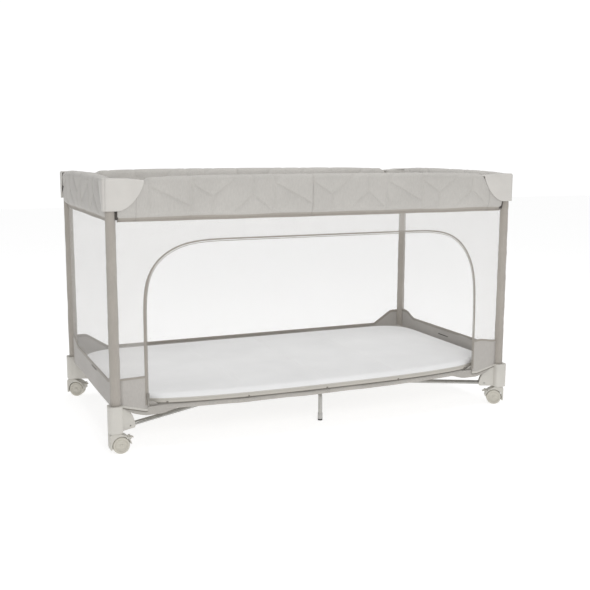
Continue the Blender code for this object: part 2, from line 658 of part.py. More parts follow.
def casters():
    x, z = lever_pivot()
    pieces = (
        ("caster_fork", caster_fork(), "frame_plastic", (0, 0, HOOD_TOP)),
        ("caster_wheel", caster_wheel(), "wheel_plastic", (WHEEL_TRAIL, 0, WHEEL_RADIUS)),
        ("brake_lever", brake_lever(), "wheel_plastic", (x, 0, z)),
    )
    for corner, (sx, sy) in CORNERS.items():
        turn = math.radians(CASTER_TURN[corner])
        for stem, solid, slot, origin in pieces:
            at = Matrix.Rotation(turn, 3, "Z") @ Vector(origin) + Vector((sx * LEG_X, sy * LEG_Y, 0))
            place(f"{stem}_{corner}", solid, slot, origin, at, turn=turn, keep=True)
    for _, solid, _, _ in pieces:
        bpy.data.objects.remove(solid)


# ---------------------------------------------------------------- soft parts

def cover_section(half_width, bottom, top, foot):
    """A drop shape, round over the rail and narrow at its hem, as (across, height)."""
    centre = top - half_width
    outline = arc((0, centre), half_width, 0, 180, 10)
    outline += [(-half_width * 0.86, centre - 0.030), (-foot, bottom + foot)]
    outline += arc((0, bottom + foot), foot, 180, 360, 4)[1:-1]
    return [*outline, (foot, bottom + foot), (half_width * 0.86, centre - 0.030)]


def cover(half_length, sideways, open_from=None):
    """A padded cover along X about the origin, hollow round the rail."""
    outer = cover_section(COVER_HALF, COVER_BOTTOM, COVER_TOP, COVER_HEM)
    hollow = rounded_rectangle(
        (-COVER_CAVITY, COVER_CAVITY_BOTTOM), (COVER_CAVITY, COVER_CAVITY_TOP), 0.006, 3
    )
    at = (0, LEG_Y * sideways, 0)
    past_end = half_length + 0.01
    tube = prism([outer], -half_length, half_length, ALONG_X, at)
    cuts = [prism([hollow], -past_end, past_end, ALONG_X, at)]
    if open_from is not None:
        for side in (-1, 1):
            ends = sorted((side * open_from, side * past_end))
            low, high = (ends[0], at[1] - 0.05, COVER_UNDER_CAP), (ends[1], at[1] + 0.05, COVER_TOP + 0.01)
            cuts.append(box(low, high))
    return shaped(tube, cut=cuts)


def covers():
    length = LEG_X - COVER_SHORT_OF_LEG
    open_from = LEG_X + CAP_X - CAP_LENGTH - 0.002
    for side, sy in (("front", -1), ("back", 1)):
        place(f"rail_cover_{side}", cover(length, sy, open_from), "cover_fabric", (0, sy * LEG_Y, RAIL_Z))
    length = LEG_Y + CAP_Y - CAP_DEPTH - COVER_SHORT_OF_CAP
    for side, sx in (("left", -1), ("right", 1)):
        at = (sx * LEG_X, 0, RAIL_Z)
        place(f"rail_cover_{side}", cover(length, 0), "cover_fabric", (0, 0, RAIL_Z), at, turn=HALF_TURN / 2)


def door_arch():
    """The open arch of the front wall, from its left foot over the top to its right foot."""
    left = arc((-DOOR_LEFT + DOOR_ROUND, DOOR_TOP - DOOR_ROUND), DOOR_ROUND, 180, 90, 8)
    right = arc((DOOR_RIGHT - DOOR_ROUND, DOOR_TOP - DOOR_ROUND), DOOR_ROUND, 90, 0, 8)
    return [(-DOOR_LEFT, WALL_BOTTOM), *left, *right, (DOOR_RIGHT, WALL_BOTTOM)]


def wall_outline(half_length, opening=()):
    """A side wall from leg to leg. Its bottom edge clears the feet at its ends."""
    high, end, step = COVER_BOTTOM - 0.001, FOOT_TOP + 0.0015, half_length - FIN_LENGTH * math.cos(PLAN)
    left = [(-half_length, high), (-half_length, end), (-step, end), (-step, WALL_BOTTOM)]
    return [*left, *opening, (step, WALL_BOTTOM), (step, end), (half_length, end), (half_length, high)]


def walls():
    half = WALL_THICKNESS / 2
    for side, sy, opening in (("back", 1, ()), ("front", -1, door_arch())):
        outline = wall_outline(LEG_X - WALL_SHORT_OF_LEG, opening)
        wall = prism([outline], sy * LEG_Y - half, sy * LEG_Y + half, ALONG_Y)
        place(f"mesh_wall_{side}", wall, "mesh_fabric", (0, sy * LEG_Y, FLOOR_TOP))
    outline = wall_outline(LEG_Y - WALL_SHORT_OF_LEG)
    for side, sx in (("left", -1), ("right", 1)):
        wall = prism([outline], sx * LEG_X - half, sx * LEG_X + half, ALONG_X)
        place(f"mesh_wall_{side}", wall, "mesh_fabric", (sx * LEG_X, 0, FLOOR_TOP))


def bed_outline():
    """The plan of the mattress and floor: round corners, and a front edge that bows out at the door."""
    x, y = LEG_X - MATTRESS_SIDE_GAP, LEG_Y - MATTRESS_SIDE_GAP
    radius = MATTRESS_CORNER
    back = arc((x - radius, y - radius), radius, 0, 90, 5) + arc((radius - x, y - radius), radius, 90, 180, 5)
    half_door = min(DOOR_LEFT, DOOR_RIGHT) - 0.012
    front = LEG_Y - 0.012
    steps = 16
    bow = []
    for i in range(steps + 1):
        share = -1 + 2 * i / steps
        out = (LEG_Y + MATTRESS_BULGE - front) * (1 - abs(share) ** 2.6) ** 0.7
        bow.append((share * half_door, -front - out))
    left = arc((radius - x, radius - front), radius, 180, 225, 3)
    right = arc((x - radius, radius - front), radius, 315, 360, 3)
    return [*back, *left, *bow, *right]


def floor_and_mattress():
    outline = bed_outline()
    floor = prism([outline], FLOOR_BOTTOM, FLOOR_TOP)
    place("floor_panel", floor, "floor_fabric", (0, 0, FLOOR_TOP))
    mattress = prism([outline], FLOOR_TOP + FIT, MATTRESS_TOP)
    place("mattress", mattress, "mattress_fabric", (0, 0, MATTRESS_TOP))


def zip_slider():
    wide, deep, tall = SLIDER_SIZE
    face = -LEG_Y - WALL_THICKNESS / 2 - 0.0008
    x = -DOOR_LEFT - wide / 2
    body = box((x, face - deep, SLIDER_Z), (x + wide, face, SLIDER_Z + tall), 0.001)
    low = (x + 0.002, face - deep - 0.0015, SLIDER_Z - 0.018)
    high = (x + wide - 0.002, face - deep + 0.001, SLIDER_Z + 0.010)
    tab = box(low, high, 0.0006)
    place("zip_slider", shaped(body, add=[tab]), "zip_metal", (x + wide / 2, face, SLIDER_Z))


clear_scene()
PARTS = new_collection("playpen")
hub()
arms()
support_legs()
feet()
legs()
caps()
rails()
locks()
casters()
covers()
walls()
floor_and_mattress()
zip_slider()
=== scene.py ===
"""The looks of a folding playpen: quilted rail covers, sleeved legs, net sides, a padded mattress.

Everything is in metres, +X along the long sides, +Y to the back, +Z up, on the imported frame. A new
piece is a surface of two parameters on a grid, or a profile carried along a path.
"""
import json
import math

import bmesh
import bpy
import numpy as np
from mathutils import Matrix, Vector


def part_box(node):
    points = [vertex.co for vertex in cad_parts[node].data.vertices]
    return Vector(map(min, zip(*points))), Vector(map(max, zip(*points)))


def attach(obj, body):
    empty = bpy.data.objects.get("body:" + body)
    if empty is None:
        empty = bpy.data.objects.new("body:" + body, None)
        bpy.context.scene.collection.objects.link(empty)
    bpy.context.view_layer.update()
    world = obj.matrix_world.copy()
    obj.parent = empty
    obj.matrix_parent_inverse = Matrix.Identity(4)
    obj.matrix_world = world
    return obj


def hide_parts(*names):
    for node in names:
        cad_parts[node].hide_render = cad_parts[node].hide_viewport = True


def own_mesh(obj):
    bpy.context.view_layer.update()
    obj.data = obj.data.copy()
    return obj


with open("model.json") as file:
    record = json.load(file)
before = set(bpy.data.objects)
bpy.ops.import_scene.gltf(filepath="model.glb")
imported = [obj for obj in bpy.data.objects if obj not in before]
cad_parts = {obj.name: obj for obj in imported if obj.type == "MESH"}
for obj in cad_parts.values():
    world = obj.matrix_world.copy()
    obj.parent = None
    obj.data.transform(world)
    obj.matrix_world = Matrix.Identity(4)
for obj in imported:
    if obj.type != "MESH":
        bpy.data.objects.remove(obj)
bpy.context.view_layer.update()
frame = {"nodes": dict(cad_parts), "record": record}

# ---------------------------------------------------------------- places taken from the frame

CORNERS = {
    "front_left": (-1, -1),
    "front_right": (1, -1),
    "back_left": (-1, 1),
    "back_right": (1, 1),
}
SIDES = {
    "front": ("x", -1, ("front_left", "front_right")),
    "back": ("x", 1, ("back_left", "back_right")),
    "left": ("y", -1, ("front_left", "back_left")),
    "right": ("y", 1, ("front_right", "back_right")),
}


def middle(node):
    low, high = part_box(node)
    return (np.array(low) + np.array(high)) / 2


def placed(name, data):
    """A new object in the scene."""
    made = bpy.data.objects.new(name, data)
    bpy.context.scene.collection.objects.link(made)
    return made


def facing(side):
    """The direction a side faces."""
    axis, sign, _ = SIDES[side]
    return (0, sign, 0) if axis == "x" else (sign, 0, 0)


def on_side(side, along, out, z):
    """Points at places along a side, at distances outwards from its legs' centres, and at heights."""
    axis, sign, _ = SIDES[side]
    flat = sign * ((LEG[1] if axis == "x" else LEG[0]) + out)
    along, flat, z = np.broadcast_arrays(along, flat, z)
    return np.stack([along, flat, z] if axis == "x" else [flat, along, z], axis=-1)


LEG = np.abs(middle("leg_tube_back_right"))[:2]
CAP_LOW, CAP_HIGH = (np.array(v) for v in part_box("corner_cap_back_right"))
FOOT_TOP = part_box("corner_foot_back_right")[1][2]
COVER_LOW, COVER_HIGH = (np.array(v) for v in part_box("rail_cover_back"))
SHORT_COVER_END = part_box("rail_cover_right")[1][1]
FLOOR_LOW, FLOOR_HIGH = (np.array(v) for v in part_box("floor_panel"))
PAD_LOW, PAD_HIGH = (np.array(v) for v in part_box("mattress"))
BEHAVIOUR = frame["record"]["behaviour"]
JOINTS = {joint["name"]: joint for joint in BEHAVIOUR["joints"]}
BODY_OF = {node: body for body, nodes in BEHAVIOUR["bodies"].items() for node in nodes}
ARM_PIN = np.array(JOINTS["fold"]["pos_m"])
COVER_TALL = COVER_HIGH[2] - COVER_LOW[2]
CAP_REACH = CAP_LOW[0]
WALL_TOP = COVER_LOW[2] + 0.002

SLEEVE_RADIUS = 0.0117
DOOR_LEFT, DOOR_RIGHT, DOOR_TOP = -0.508, 0.497, 0.543
CAP_SHOWN = (0.020, 0.0175)  # from a leg's centre to the visible cap's outer faces
CAP_POWER = 3.2  # of the superellipse that rounds a cap's upright corner
CAP_SOFT = 0.0065  # height of a cap's rounded upper edge
CAP_NOSE = 0.024  # length over which a cap's top bends down to its round end
FRONT = (0, -1, 0)

# ---------------------------------------------------------------- materials


def linear(*rgb):
    """Display values of 0 to 255 as linear light, with full alpha."""
    share = np.array(rgb) / 255
    return (*np.where(share <= 0.04045, share / 12.92, ((share + 0.055) / 1.055) ** 2.4), 1.0)


class Finish:
    """A material being built: its nodes are added by kind, with their inputs by name or number."""

    def __init__(self, name, **shader):
        self.material = bpy.data.materials.new(name)
        self.material.use_nodes = True
        self.tree = self.material.node_tree
        self.shader = self.tree.nodes["Principled BSDF"]
        sockets = {key: key.replace("_", " ").title().replace("Ior", "IOR") for key in shader}
        self.put(self.shader, {sockets[key]: value for key, value in shader.items()})

    def put(self, node, inputs):
        for key, value in inputs.items():
            if isinstance(value, bpy.types.NodeSocket):
                self.tree.links.new(value, node.inputs[key])
            else:
                node.inputs[key].default_value = value
        return node

    def node(self, kind, inputs=None, **settings):
        made = self.tree.nodes.new("ShaderNode" + kind)
        for key, value in settings.items():
            setattr(made, key, value)
        return self.put(made, inputs or {})

    def math(self, operation, *values):
        made = self.node("Math", dict(enumerate(values)), operation=operation)
        return made.outputs[0]

    def noise(self, scale, detail=3.0, stretch=None, source="Object"):
        place = self.node("TexCoord").outputs[source]
        if stretch:
            place = self.node("Mapping", {"Vector": place, "Scale": stretch}).outputs[0]
        return self.node("TexNoise", {"Vector": place, "Scale": scale, "Detail": detail}).outputs["Fac"]

    def spread(self, value, low, high, start=0.3, end=0.7):
        """The value, from start to end, mapped to low to high."""
        made = self.node("MapRange", {0: value, 1: start, 2: end, 3: low, 4: high})
        return made.outputs[0]

    def tinted(self, colour, amount):
        """The colour times a grey amount."""
        made = self.node("Mix", {6: colour, 7: amount}, data_type="RGBA", blend_type="MULTIPLY")
        made.inputs[0].default_value = 1.0
        return made.outputs[2]

    def blended(self, share, first, second):
        return self.node("Mix", {0: share, 6: first, 7: second}, data_type="RGBA").outputs[2]

    def bump(self, height, distance, strength=1.0, under=None):
        inputs = {"Height": height, "Distance": distance, "Strength": strength}
        if under is not None:
            inputs["Normal"] = under
        return self.node("Bump", inputs).outputs[0]

    def done(self, **sockets):
        self.put(self.shader, {key.replace("_", " ").title(): v for key, v in sockets.items()})
        return self.material


def moulded(name, colour, roughness=0.42, grain=0.00004, mottle=0.05):
    """Moulded plastic: a fine spark-eroded grain, a faint mottle and rubbed patches that shine more."""
    f = Finish(name, specular_ior_level=0.42)
    cloud = f.noise(22, 4)
    tone = f.spread(cloud, 1 - mottle, 1 + mottle * 0.4)
    rubbed = f.spread(f.noise(60, 5), roughness - 0.07, roughness + 0.09)
    normal = f.bump(f.noise(2600, 2), grain, 0.6, f.bump(f.noise(140, 2), grain * 2, 0.35))
    return f.done(base_color=f.tinted(linear(*colour), tone), roughness=rubbed, normal=normal)


def brushed(name, colour, roughness=0.34):
    """Drawn steel tube: long fine draw lines, cloudy oxide and a few duller spots."""
    f = Finish(name, metallic=0.85, specular_ior_level=0.5)
    lines = f.noise(900, 4, stretch=(0.06, 0.06, 1.0))
    tone = f.spread(f.noise(45, 5), 0.86, 1.06)
    dull = f.spread(f.noise(160, 4), roughness - 0.06, roughness + 0.16)
    normal = f.bump(lines, 0.00003, 0.5)
    return f.done(base_color=f.tinted(linear(*colour), tone), roughness=dull, normal=normal)


def threads(f, pitch):
    """Plain weave from the piece's own UVs in metres: warp and weft cross over and under."""
    uv = f.node("SeparateXYZ", {0: f.node("UVMap", uv_map="cloth").outputs[0]})
    turns = math.pi / pitch
    warp = f.math("SINE", f.math("MULTIPLY", uv.outputs[0], turns))
    weft = f.math("SINE", f.math("MULTIPLY", uv.outputs[1], turns))
    over = f.math("MULTIPLY", warp, weft)
    return f.math("ABSOLUTE", over), over


def woven(
    name, colour, pitch=0.0011, depth=0.00025, blotch=0.06, tape=None, sheen=0.25, roughness=0.88
):
    """Cloth: a plain weave, slubs along the threads, soft blotches, painted shade between the threads
    and a faint nap.

    With a tape colour, the faces near the hem, marked by the piece's own attribute, take that colour.
    """
    f = Finish(
        name, sheen_weight=sheen, sheen_roughness=0.5, specular_ior_level=0.2, roughness=roughness
    )
    height, over = threads(f, pitch)
    soft = f.spread(f.noise(9, 4), 1 - blotch, 1 + blotch * 0.5)
    slub = f.spread(f.noise(420, 3, stretch=(1.0, 1.0, 0.2)), 0.95, 1.04)
    # painted shade: the weave is darker between its threads
    gap_shade = f.spread(height, 0.88, 1.02, 0.0, 0.6)
    tone = f.math("MULTIPLY", f.math("MULTIPLY", soft, slub), gap_shade)
    base = linear(*colour)
    if tape:
        mark = f.node("Attribute", attribute_name="tape").outputs["Fac"]
        base = f.blended(mark, base, linear(*tape))
    crumple = f.bump(f.noise(75, 5), 0.0009, 0.5)
    normal = f.bump(f.math("ADD", height, f.math("MULTIPLY", over, 0.3)), depth, 0.7, crumple)
    return f.done(base_color=f.tinted(base, tone), normal=normal)


def netting(name, colour, pitch=0.0019, thread=0.19):
    """Knitted net: two families of slanting threads, open diamonds between, thicker at the knots."""
    f = Finish(name, roughness=0.75, sheen_weight=0.2, specular_ior_level=0.2)
    uv = f.node("SeparateXYZ", {0: f.node("UVMap", uv_map="cloth").outputs[0]})
    lines = []
    for operation in ("ADD", "SUBTRACT"):
        slant = f.math(operation, uv.outputs[0], f.math("MULTIPLY", uv.outputs[1], 0.62))
        wave = f.math("ABSOLUTE", f.math("SINE", f.math("MULTIPLY", slant, math.pi / pitch)))
        lines.append(wave)
    nearest = f.math("MINIMUM", *lines)
    knot = f.math("MULTIPLY", f.math("ADD", *lines), 0.30)
    open_here = f.math("MINIMUM", nearest, knot)
    alpha = f.spread(open_here, 1.0, 0.0, thread * 0.75, thread * 1.25)
    tone = f.spread(f.noise(30, 3), 0.95, 1.03)
    return f.done(
        base_color=f.tinted(linear(*colour), tone), alpha=alpha, normal=f.bump(nearest, 0.0002, 0.4)
    )


def tipped(name, colour, end, foot):
    """A drawn steel leg's end: grey down to a height, and a dark rubber foot below it."""
    f = Finish(name, roughness=0.5, specular_ior_level=0.4)
    height = f.node("SeparateXYZ", {0: f.node("TexCoord").outputs["Object"]}).outputs[2]
    worn = f.math("ADD", height, f.spread(f.noise(300, 3), -0.0004, 0.0004))
    share = f.spread(worn, 0.0, 1.0, end, end + 0.0006)
    tone = f.spread(f.noise(60, 4), 0.92, 1.04)
    base = f.blended(share, linear(*foot), linear(*colour))
    return f.done(base_color=f.tinted(base, tone), normal=f.bump(f.noise(900, 2), 0.00004, 0.5))


def quilted_top(name, colour):
    """The mattress cover: close weave with painted shade between its threads, and a soft pucker all
    over.
    """
    f = Finish(name, sheen_weight=0.2, specular_ior_level=0.2, roughness=0.9)
    height, _ = threads(f, 0.0012)
    # painted shade: the weave is darker between its threads
    tone = f.math(
        "MULTIPLY", f.spread(f.noise(7, 4), 0.96, 1.02), f.spread(height, 0.94, 1.01, 0.0, 0.6)
    )
    pucker = f.bump(f.noise(38, 4), 0.0016, 0.5)
    mark = f.node("Attribute", attribute_name="tape").outputs["Fac"]
    base = f.blended(mark, linear(*colour), linear(194, 190, 182))
    return f.done(base_color=f.tinted(base, tone), normal=f.bump(height, 0.0002, 0.6, pucker))


CAP_PLASTIC = moulded("cap plastic", (208, 205, 200), 0.40)
FOOT_PLASTIC = moulded("foot plastic", (206, 203, 196), 0.42)
FORK_PLASTIC = moulded("caster plastic", (200, 197, 189), 0.42)
WHEEL_PLASTIC = moulded("wheel plastic", (198, 194, 183), 0.45, mottle=0.06)
LOCK_PLASTIC = moulded("lock plastic", (182, 178, 172), 0.5)
RED_PLASTIC = moulded("button plastic", (176, 60, 50), 0.4)
TIP = tipped("support foot", (184, 183, 180), 0.0045, (70, 68, 66))
STEEL = brushed("bare steel", (186, 185, 181))
ZIP_METAL = brushed("zip metal", (150, 147, 141), 0.3)
PAINTED = moulded("painted tube", (140, 135, 128), 0.4)
SLEEVE = woven("sleeve cloth", (178, 172, 164), 0.0010, blotch=0.08)
COVER = woven("cover cloth", (197, 194, 189), 0.0012, blotch=0.05, tape=(172, 166, 158))
BAND = woven("band cloth", (190, 186, 181), 0.0010, blotch=0.06)
BASE = woven("floor cloth", (184, 180, 174), 0.0012, blotch=0.08)
TAPE = woven("zip tape cloth", (166, 160, 152), 0.0009, depth=0.0002)
PIPING = woven("piping cloth", (206, 203, 196), 0.0008, depth=0.0002)
EDGE = woven("dark edge cloth", (132, 127, 119), 0.0008, depth=0.0002)
PAD = quilted_top("mattress cloth", (240, 240, 240))
NET = netting("white net", (218, 216, 213), thread=0.22)
# painted shade: a dark cloth put where only shade falls, in the gaps under the caps and in the bands'
# slots
SHADE_CLOTH = woven("slot shadow cloth", (84, 80, 76), 0.0010)

# ---------------------------------------------------------------- making meshes


def smoothstep(x, start, end):
    t = np.clip((x - start) / (end - start), 0, 1)
    return t * t * (3 - 2 * t)


def ripple(x, y, seed, size):
    """Smooth wandering between about -1 and 1: a sum of slanting sines of unrelated lengths."""
    draw = np.random.default_rng(seed)
    total = np.zeros(np.broadcast(x, y).shape)
    for k in range(6):
        angle, phase = draw.uniform(0, 2 * np.pi, 2)
        wave = 2 * np.pi / (size * draw.uniform(0.6, 1.8))
        total = total + np.sin(wave * (x * np.cos(angle) + y * np.sin(angle)) + phase)
    return total / 3.2


def mesh_piece(name, points, faces, uv, material, smooth=True, marks=None):
    """A new object from points, faces and one UV a point."""
    mesh = bpy.data.meshes.new(name)
    mesh.from_pydata(points.tolist(), [], faces)
    mesh.validate()
    if smooth:
        mesh.polygons.foreach_set("use_smooth", np.ones(len(mesh.polygons), bool))
    layer = mesh.uv_layers.new(name="cloth")
    corner = np.zeros(len(mesh.loops), np.int32)
    mesh.loops.foreach_get("vertex_index", corner)
    layer.data.foreach_set("uv", uv[corner].astype(np.float32).ravel())
    if marks is not None:
        tape = mesh.attributes.new("tape", "FLOAT", "POINT")
        tape.data.foreach_set("value", marks.astype(np.float32).ravel())
    mesh.materials.append(material)
    made = bpy.data.objects.new(name, mesh)
    bpy.context.scene.collection.objects.link(made)
    return made


def measured(points):
    """UVs in metres: the mean distance gone along each direction of the grid."""
    du = np.linalg.norm(np.diff(points, axis=0), axis=2).mean(1)
    dv = np.linalg.norm(np.diff(points, axis=1), axis=2).mean(0)
    u = np.concatenate([[0], np.cumsum(du)])
    v = np.concatenate([[0], np.cumsum(dv)])
    return np.stack(np.meshgrid(u, v, indexing="ij"), axis=2)


def outward(points, faces):
    """The faces, reversed if together they enclose a negative volume."""
    quads = np.array([face for face in faces if len(face) == 4])
    a, b, c, d = (points[quads[:, k]] for k in range(4))
    total = float((a * np.cross(b, c)).sum() + (a * np.cross(c, d)).sum())
    for face in (face for face in faces if len(face) > 4):
        ring = points[list(face)]
        total += float((ring[0] * np.cross(ring[1:-1], ring[2:])).sum())
    return [f[::-1] for f in faces] if total < 0 else faces


def grid(name, points, material, round_v=False, ends=False, uv=None, marks=None, smooth=True):
    """A surface from a grid of points.

    round_v joins the last column to the first, and ends closes its two rims.
    """
    rows, columns = points.shape[:2]
    number = np.arange(rows * columns).reshape(rows, columns)
    right = np.roll(number, -1, axis=1) if round_v else number[:, 1:]
    left = number if round_v else number[:, :-1]
    quads = np.stack([left[:-1], right[:-1], right[1:], left[1:]], axis=2).reshape(-1, 4)
    faces = quads.tolist()
    flat = points.reshape(-1, 3)
    if uv is None:
        uv = measured(points)
    if ends:
        faces += [number[0, ::-1].tolist(), number[-1].tolist()]
        faces = outward(flat, faces)
    marks = None if marks is None else np.broadcast_to(marks, (rows, columns)).ravel()
    return mesh_piece(name, flat, faces, uv.reshape(-1, 2), material, smooth, marks)


def spaced(line, count, closed=False):
    """The line again with count points evenly along it."""
    if closed:
        line = np.vstack([line, line[:1]])
    along = np.concatenate([[0], np.cumsum(np.linalg.norm(np.diff(line, axis=0), axis=1))])
    at = np.linspace(0, along[-1], count, endpoint=not closed)
    return np.stack([np.interp(at, along, line[:, k]) for k in range(line.shape[1])], axis=1)


def softened(line, times, closed=True):
    """Each point moved to the mean of itself and its neighbours, a number of times."""
    for _ in range(times):
        mean = (np.roll(line, 1, 0) + 2 * line + np.roll(line, -1, 0)) / 4
        if not closed:
            mean[0], mean[-1] = line[0], line[-1]
        line = mean
    return line


def arc(centre, radius, start, end, count):
    angle = np.radians(np.linspace(start, end, count))
    return np.stack([centre[0] + radius * np.cos(angle), centre[1] + radius * np.sin(angle)], axis=1)


def swept(name, path, profile, up, material, ends=True, closed=False, widen=None, marks=None):
    """A closed profile (across, outwards) carried along a path, with up as the outward direction."""
    ahead = np.gradient(path, axis=0)
    if closed:
        ahead = np.roll(path, -1, 0) - np.roll(path, 1, 0)
    ahead /= np.linalg.norm(ahead, axis=1, keepdims=True)
    up = np.broadcast_to(np.asarray(up, float), path.shape)
    across = np.cross(ahead, up)
    across /= np.linalg.norm(across, axis=1, keepdims=True)
    up = np.cross(across, ahead)
    scale = np.ones(len(path)) if widen is None else widen
    scale = scale[:, None, None] if np.ndim(scale) == 1 else scale[:, None, :]
    shape = profile[None] * scale
    points = path[:, None] + across[:, None] * shape[..., :1] + up[:, None] * shape[..., 1:]
    if closed:
        points = np.concatenate([points, points[:1]])
        ends = False
    return grid(name, points, material, round_v=True, ends=ends, marks=marks)


def oblong(width, height, count=24, power=4.0):
    """A rounded oblong profile: a superellipse of the given width and height."""
    angle = np.linspace(0, 2 * np.pi, count, endpoint=False)
    c, s = np.cos(angle), np.sin(angle)
    across, up = (np.sign(v) * np.abs(v) ** (2 / power) for v in (c, s))
    return np.stack([across * width / 2, up * height / 2], axis=1)


def closed_up(piece, *gap_shade):
    """Adds a face over each list of points, merges points that meet and turns all faces outwards."""
    bm = bmesh.new()
    bm.from_mesh(piece.data)
    bm.verts.ensure_lookup_table()
    for gap in gap_shade:
        bm.faces.new([bm.verts[number] for number in gap])
    bmesh.ops.remove_doubles(bm, verts=bm.verts, dist=1e-6)
    bmesh.ops.recalc_face_normals(bm, faces=bm.faces)
    bm.to_mesh(piece.data)
    bm.free()


def with_cloth_back(piece, thickness=0.0012):
    """Gives a sheet its thickness."""
    solid = piece.modifiers.new("cloth thickness", "SOLIDIFY")
    solid.thickness = thickness
    solid.offset = 0
    return piece


# ---------------------------------------------------------------- hard parts


def eased(node, material, width=0.0008):
    """A node's own shape with its edges eased: its flats joined, its sharp edges bevelled."""
    source = frame["nodes"][node]
    bm = bmesh.new()
    bm.from_mesh(source.data)
    bmesh.ops.remove_doubles(bm, verts=bm.verts, dist=2e-6)
    bmesh.ops.dissolve_limit(
        bm, angle_limit=math.radians(1.5), use_dissolve_boundaries=False, verts=bm.verts, edges=bm.edges
    )
    if width:
        sharp = [
            edge for edge in bm.edges
            if len(edge.link_faces) == 2 and edge.calc_face_angle(0) > math.radians(38)
        ]
        bmesh.ops.bevel(
            bm, geom=sharp, offset=width, segments=2, profile=0.6, affect="EDGES", clamp_overlap=True
        )
        bmesh.ops.remove_doubles(bm, verts=bm.verts, dist=1e-6)
    bmesh.ops.triangulate(bm, faces=[f for f in bm.faces if len(f.verts) > 4])
    mesh = bpy.data.meshes.new(node + "_eased")
    bm.to_mesh(mesh)
    bm.free()
    mesh.polygons.foreach_set("use_smooth", np.ones(len(mesh.polygons), bool))
    mesh.set_sharp_from_angle(angle=math.radians(40))
    mesh.materials.clear()
    mesh.materials.append(material)
    made = placed(node + "_eased", mesh)
    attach(made, BODY_OF[node])
    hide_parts(node)
    return made


def drawn_in(piece, sx, sy):
    """A cap's outer faces moved in towards its leg, its upright corner rounded to a superellipse."""
    bm = bmesh.new()
    bm.from_mesh(piece.data)
    outer = CAP_HIGH[:2] - LEG
    cuts = [
        (axis, sign * (LEG[axis] + outer[axis] * share))
        for axis, sign in ((0, sx), (1, sy)) for share in np.linspace(0.0, 0.9, 7)
    ]
    cuts += [(2, CAP_HIGH[2] - below) for below in (0.0060, 0.0045, 0.0030, 0.0018)]
    for axis, place in cuts:
        normal = np.eye(3)[axis]
        everything = bm.verts[:] + bm.edges[:] + bm.faces[:]
        bmesh.ops.bisect_plane(bm, geom=everything, dist=1e-6, plane_co=normal * place, plane_no=normal)
    for vert in bm.verts:
        high = max(0.0, 1 - (CAP_HIGH[2] - vert.co.z) / CAP_SOFT)
        past = max(0.0, CAP_LOW[0] + CAP_NOSE - abs(vert.co.x)) / CAP_NOSE
        vert.co.z -= 0.0055 * past ** 2 * max(0.0, 1 - (CAP_HIGH[2] - vert.co.z) / 0.030)
        share = (np.array((vert.co.x * sx, vert.co.y * sy)) - LEG) / outer
        out = np.maximum(share, 0)
        near = 1.0
        if out.max() > 0:
            near = out.max() / (out ** CAP_POWER).sum() ** (1 / CAP_POWER)
        for axis, sign in ((0, sx), (1, sy)):
            if share[axis] > 0:
                shown = CAP_SHOWN[axis] - 0.0026 * high ** 2
                vert.co[axis] = sign * (LEG[axis] + share[axis] * near * shown)
    bm.to_mesh(piece.data)
    bm.free()
    piece.data.set_sharp_from_angle(angle=math.radians(40))


def shortened(piece, joint, share=0.68):
    """A lever drawn in towards its own pin."""
    pin = np.array(JOINTS[joint]["pos_m"])
    for vert in piece.data.vertices:
        vert.co = pin + (np.array(vert.co) - pin) * share


def corner_pads():
    """Under each cap: the cover's cloth carried round the corner, and a dark block of painted shade
    beside the leg.
    """
    turn = np.linspace(0, 2 * np.pi, 40, endpoint=False)[None]
    rise = np.linspace(-0.5 * np.pi, 0.5 * np.pi, 25)[:, None]

    def block(name, centre, half, power, material, corner):
        def bent(c):
            return np.sign(c) * np.abs(c) ** (2 / power)

        x = centre[0] + half[0] * bent(np.cos(rise)) * bent(np.cos(turn))
        y = centre[1] + half[1] * bent(np.cos(rise)) * bent(np.sin(turn))
        z = centre[2] + half[2] * bent(np.sin(rise)) + 0 * turn
        piece = grid(name, np.stack([x, y, z], axis=2), material, round_v=True)
        closed_up(piece)
        piece.data.set_sharp_from_angle(angle=math.radians(50))
        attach(piece, "leg_" + corner)
        return piece

    for corner, (sx, sy) in CORNERS.items():
        centre = (sx * (LEG[0] - 0.0335), sy * (LEG[1] - 0.0085), CAP_HIGH[2] - 0.0262)
        half = (0.0500, 0.0200, 0.0222)
        pad = block("cover_corner_" + corner, centre, half, 7.0, COVER, corner)
        # painted shade: a dark block beside the leg stands for the shade in the gap under the cap
        centre = (sx * (LEG[0] - 0.0150), sy * LEG[1], COVER_LOW[2] + 0.026)
        half = (0.0055, 0.0060, 0.0260)
        block("cap_shade_" + corner, centre, half, 6.0, SHADE_CLOTH, corner)


TIP_SHARE = 0.80  # of the node's width that a support leg's tip shows


def hard_parts():
    """The moulded pieces and the tubes, on their own nodes' shapes."""
    for corner, (sx, sy) in CORNERS.items():
        drawn_in(eased("corner_cap_" + corner, CAP_PLASTIC, 0.0014), sx, sy)
        eased("corner_foot_" + corner, FOOT_PLASTIC, 0.0010)
        eased("caster_fork_" + corner, FORK_PLASTIC, 0.0005)
        shortened(eased("brake_lever_" + corner, WHEEL_PLASTIC, 0.0003), f"brake_{corner}_press")
        eased("floor_arm_" + corner, STEEL, 0)
        for stem in ("long_rail_", "short_rail_"):
            eased(stem + corner, STEEL, 0)
        eased("leg_tube_" + corner, PAINTED, 0)
    for side in SIDES:
        eased("centre_lock_" + side, LOCK_PLASTIC, 0.0006)
        eased("release_button_" + side, RED_PLASTIC, 0.0005)
    for side in ("front", "back"):
        eased("support_leg_" + side, STEEL, 0)
        tip = eased("support_tip_" + side, TIP, 0.0008)
        axis_at = middle("support_tip_" + side)[:2]
        for vert in tip.data.vertices:
            vert.co.xy = axis_at + (np.array(vert.co.xy) - axis_at) * TIP_SHARE
    eased("floor_hub", LOCK_PLASTIC, 0.0008)
    eased("zip_slider", ZIP_METAL, 0.0004)


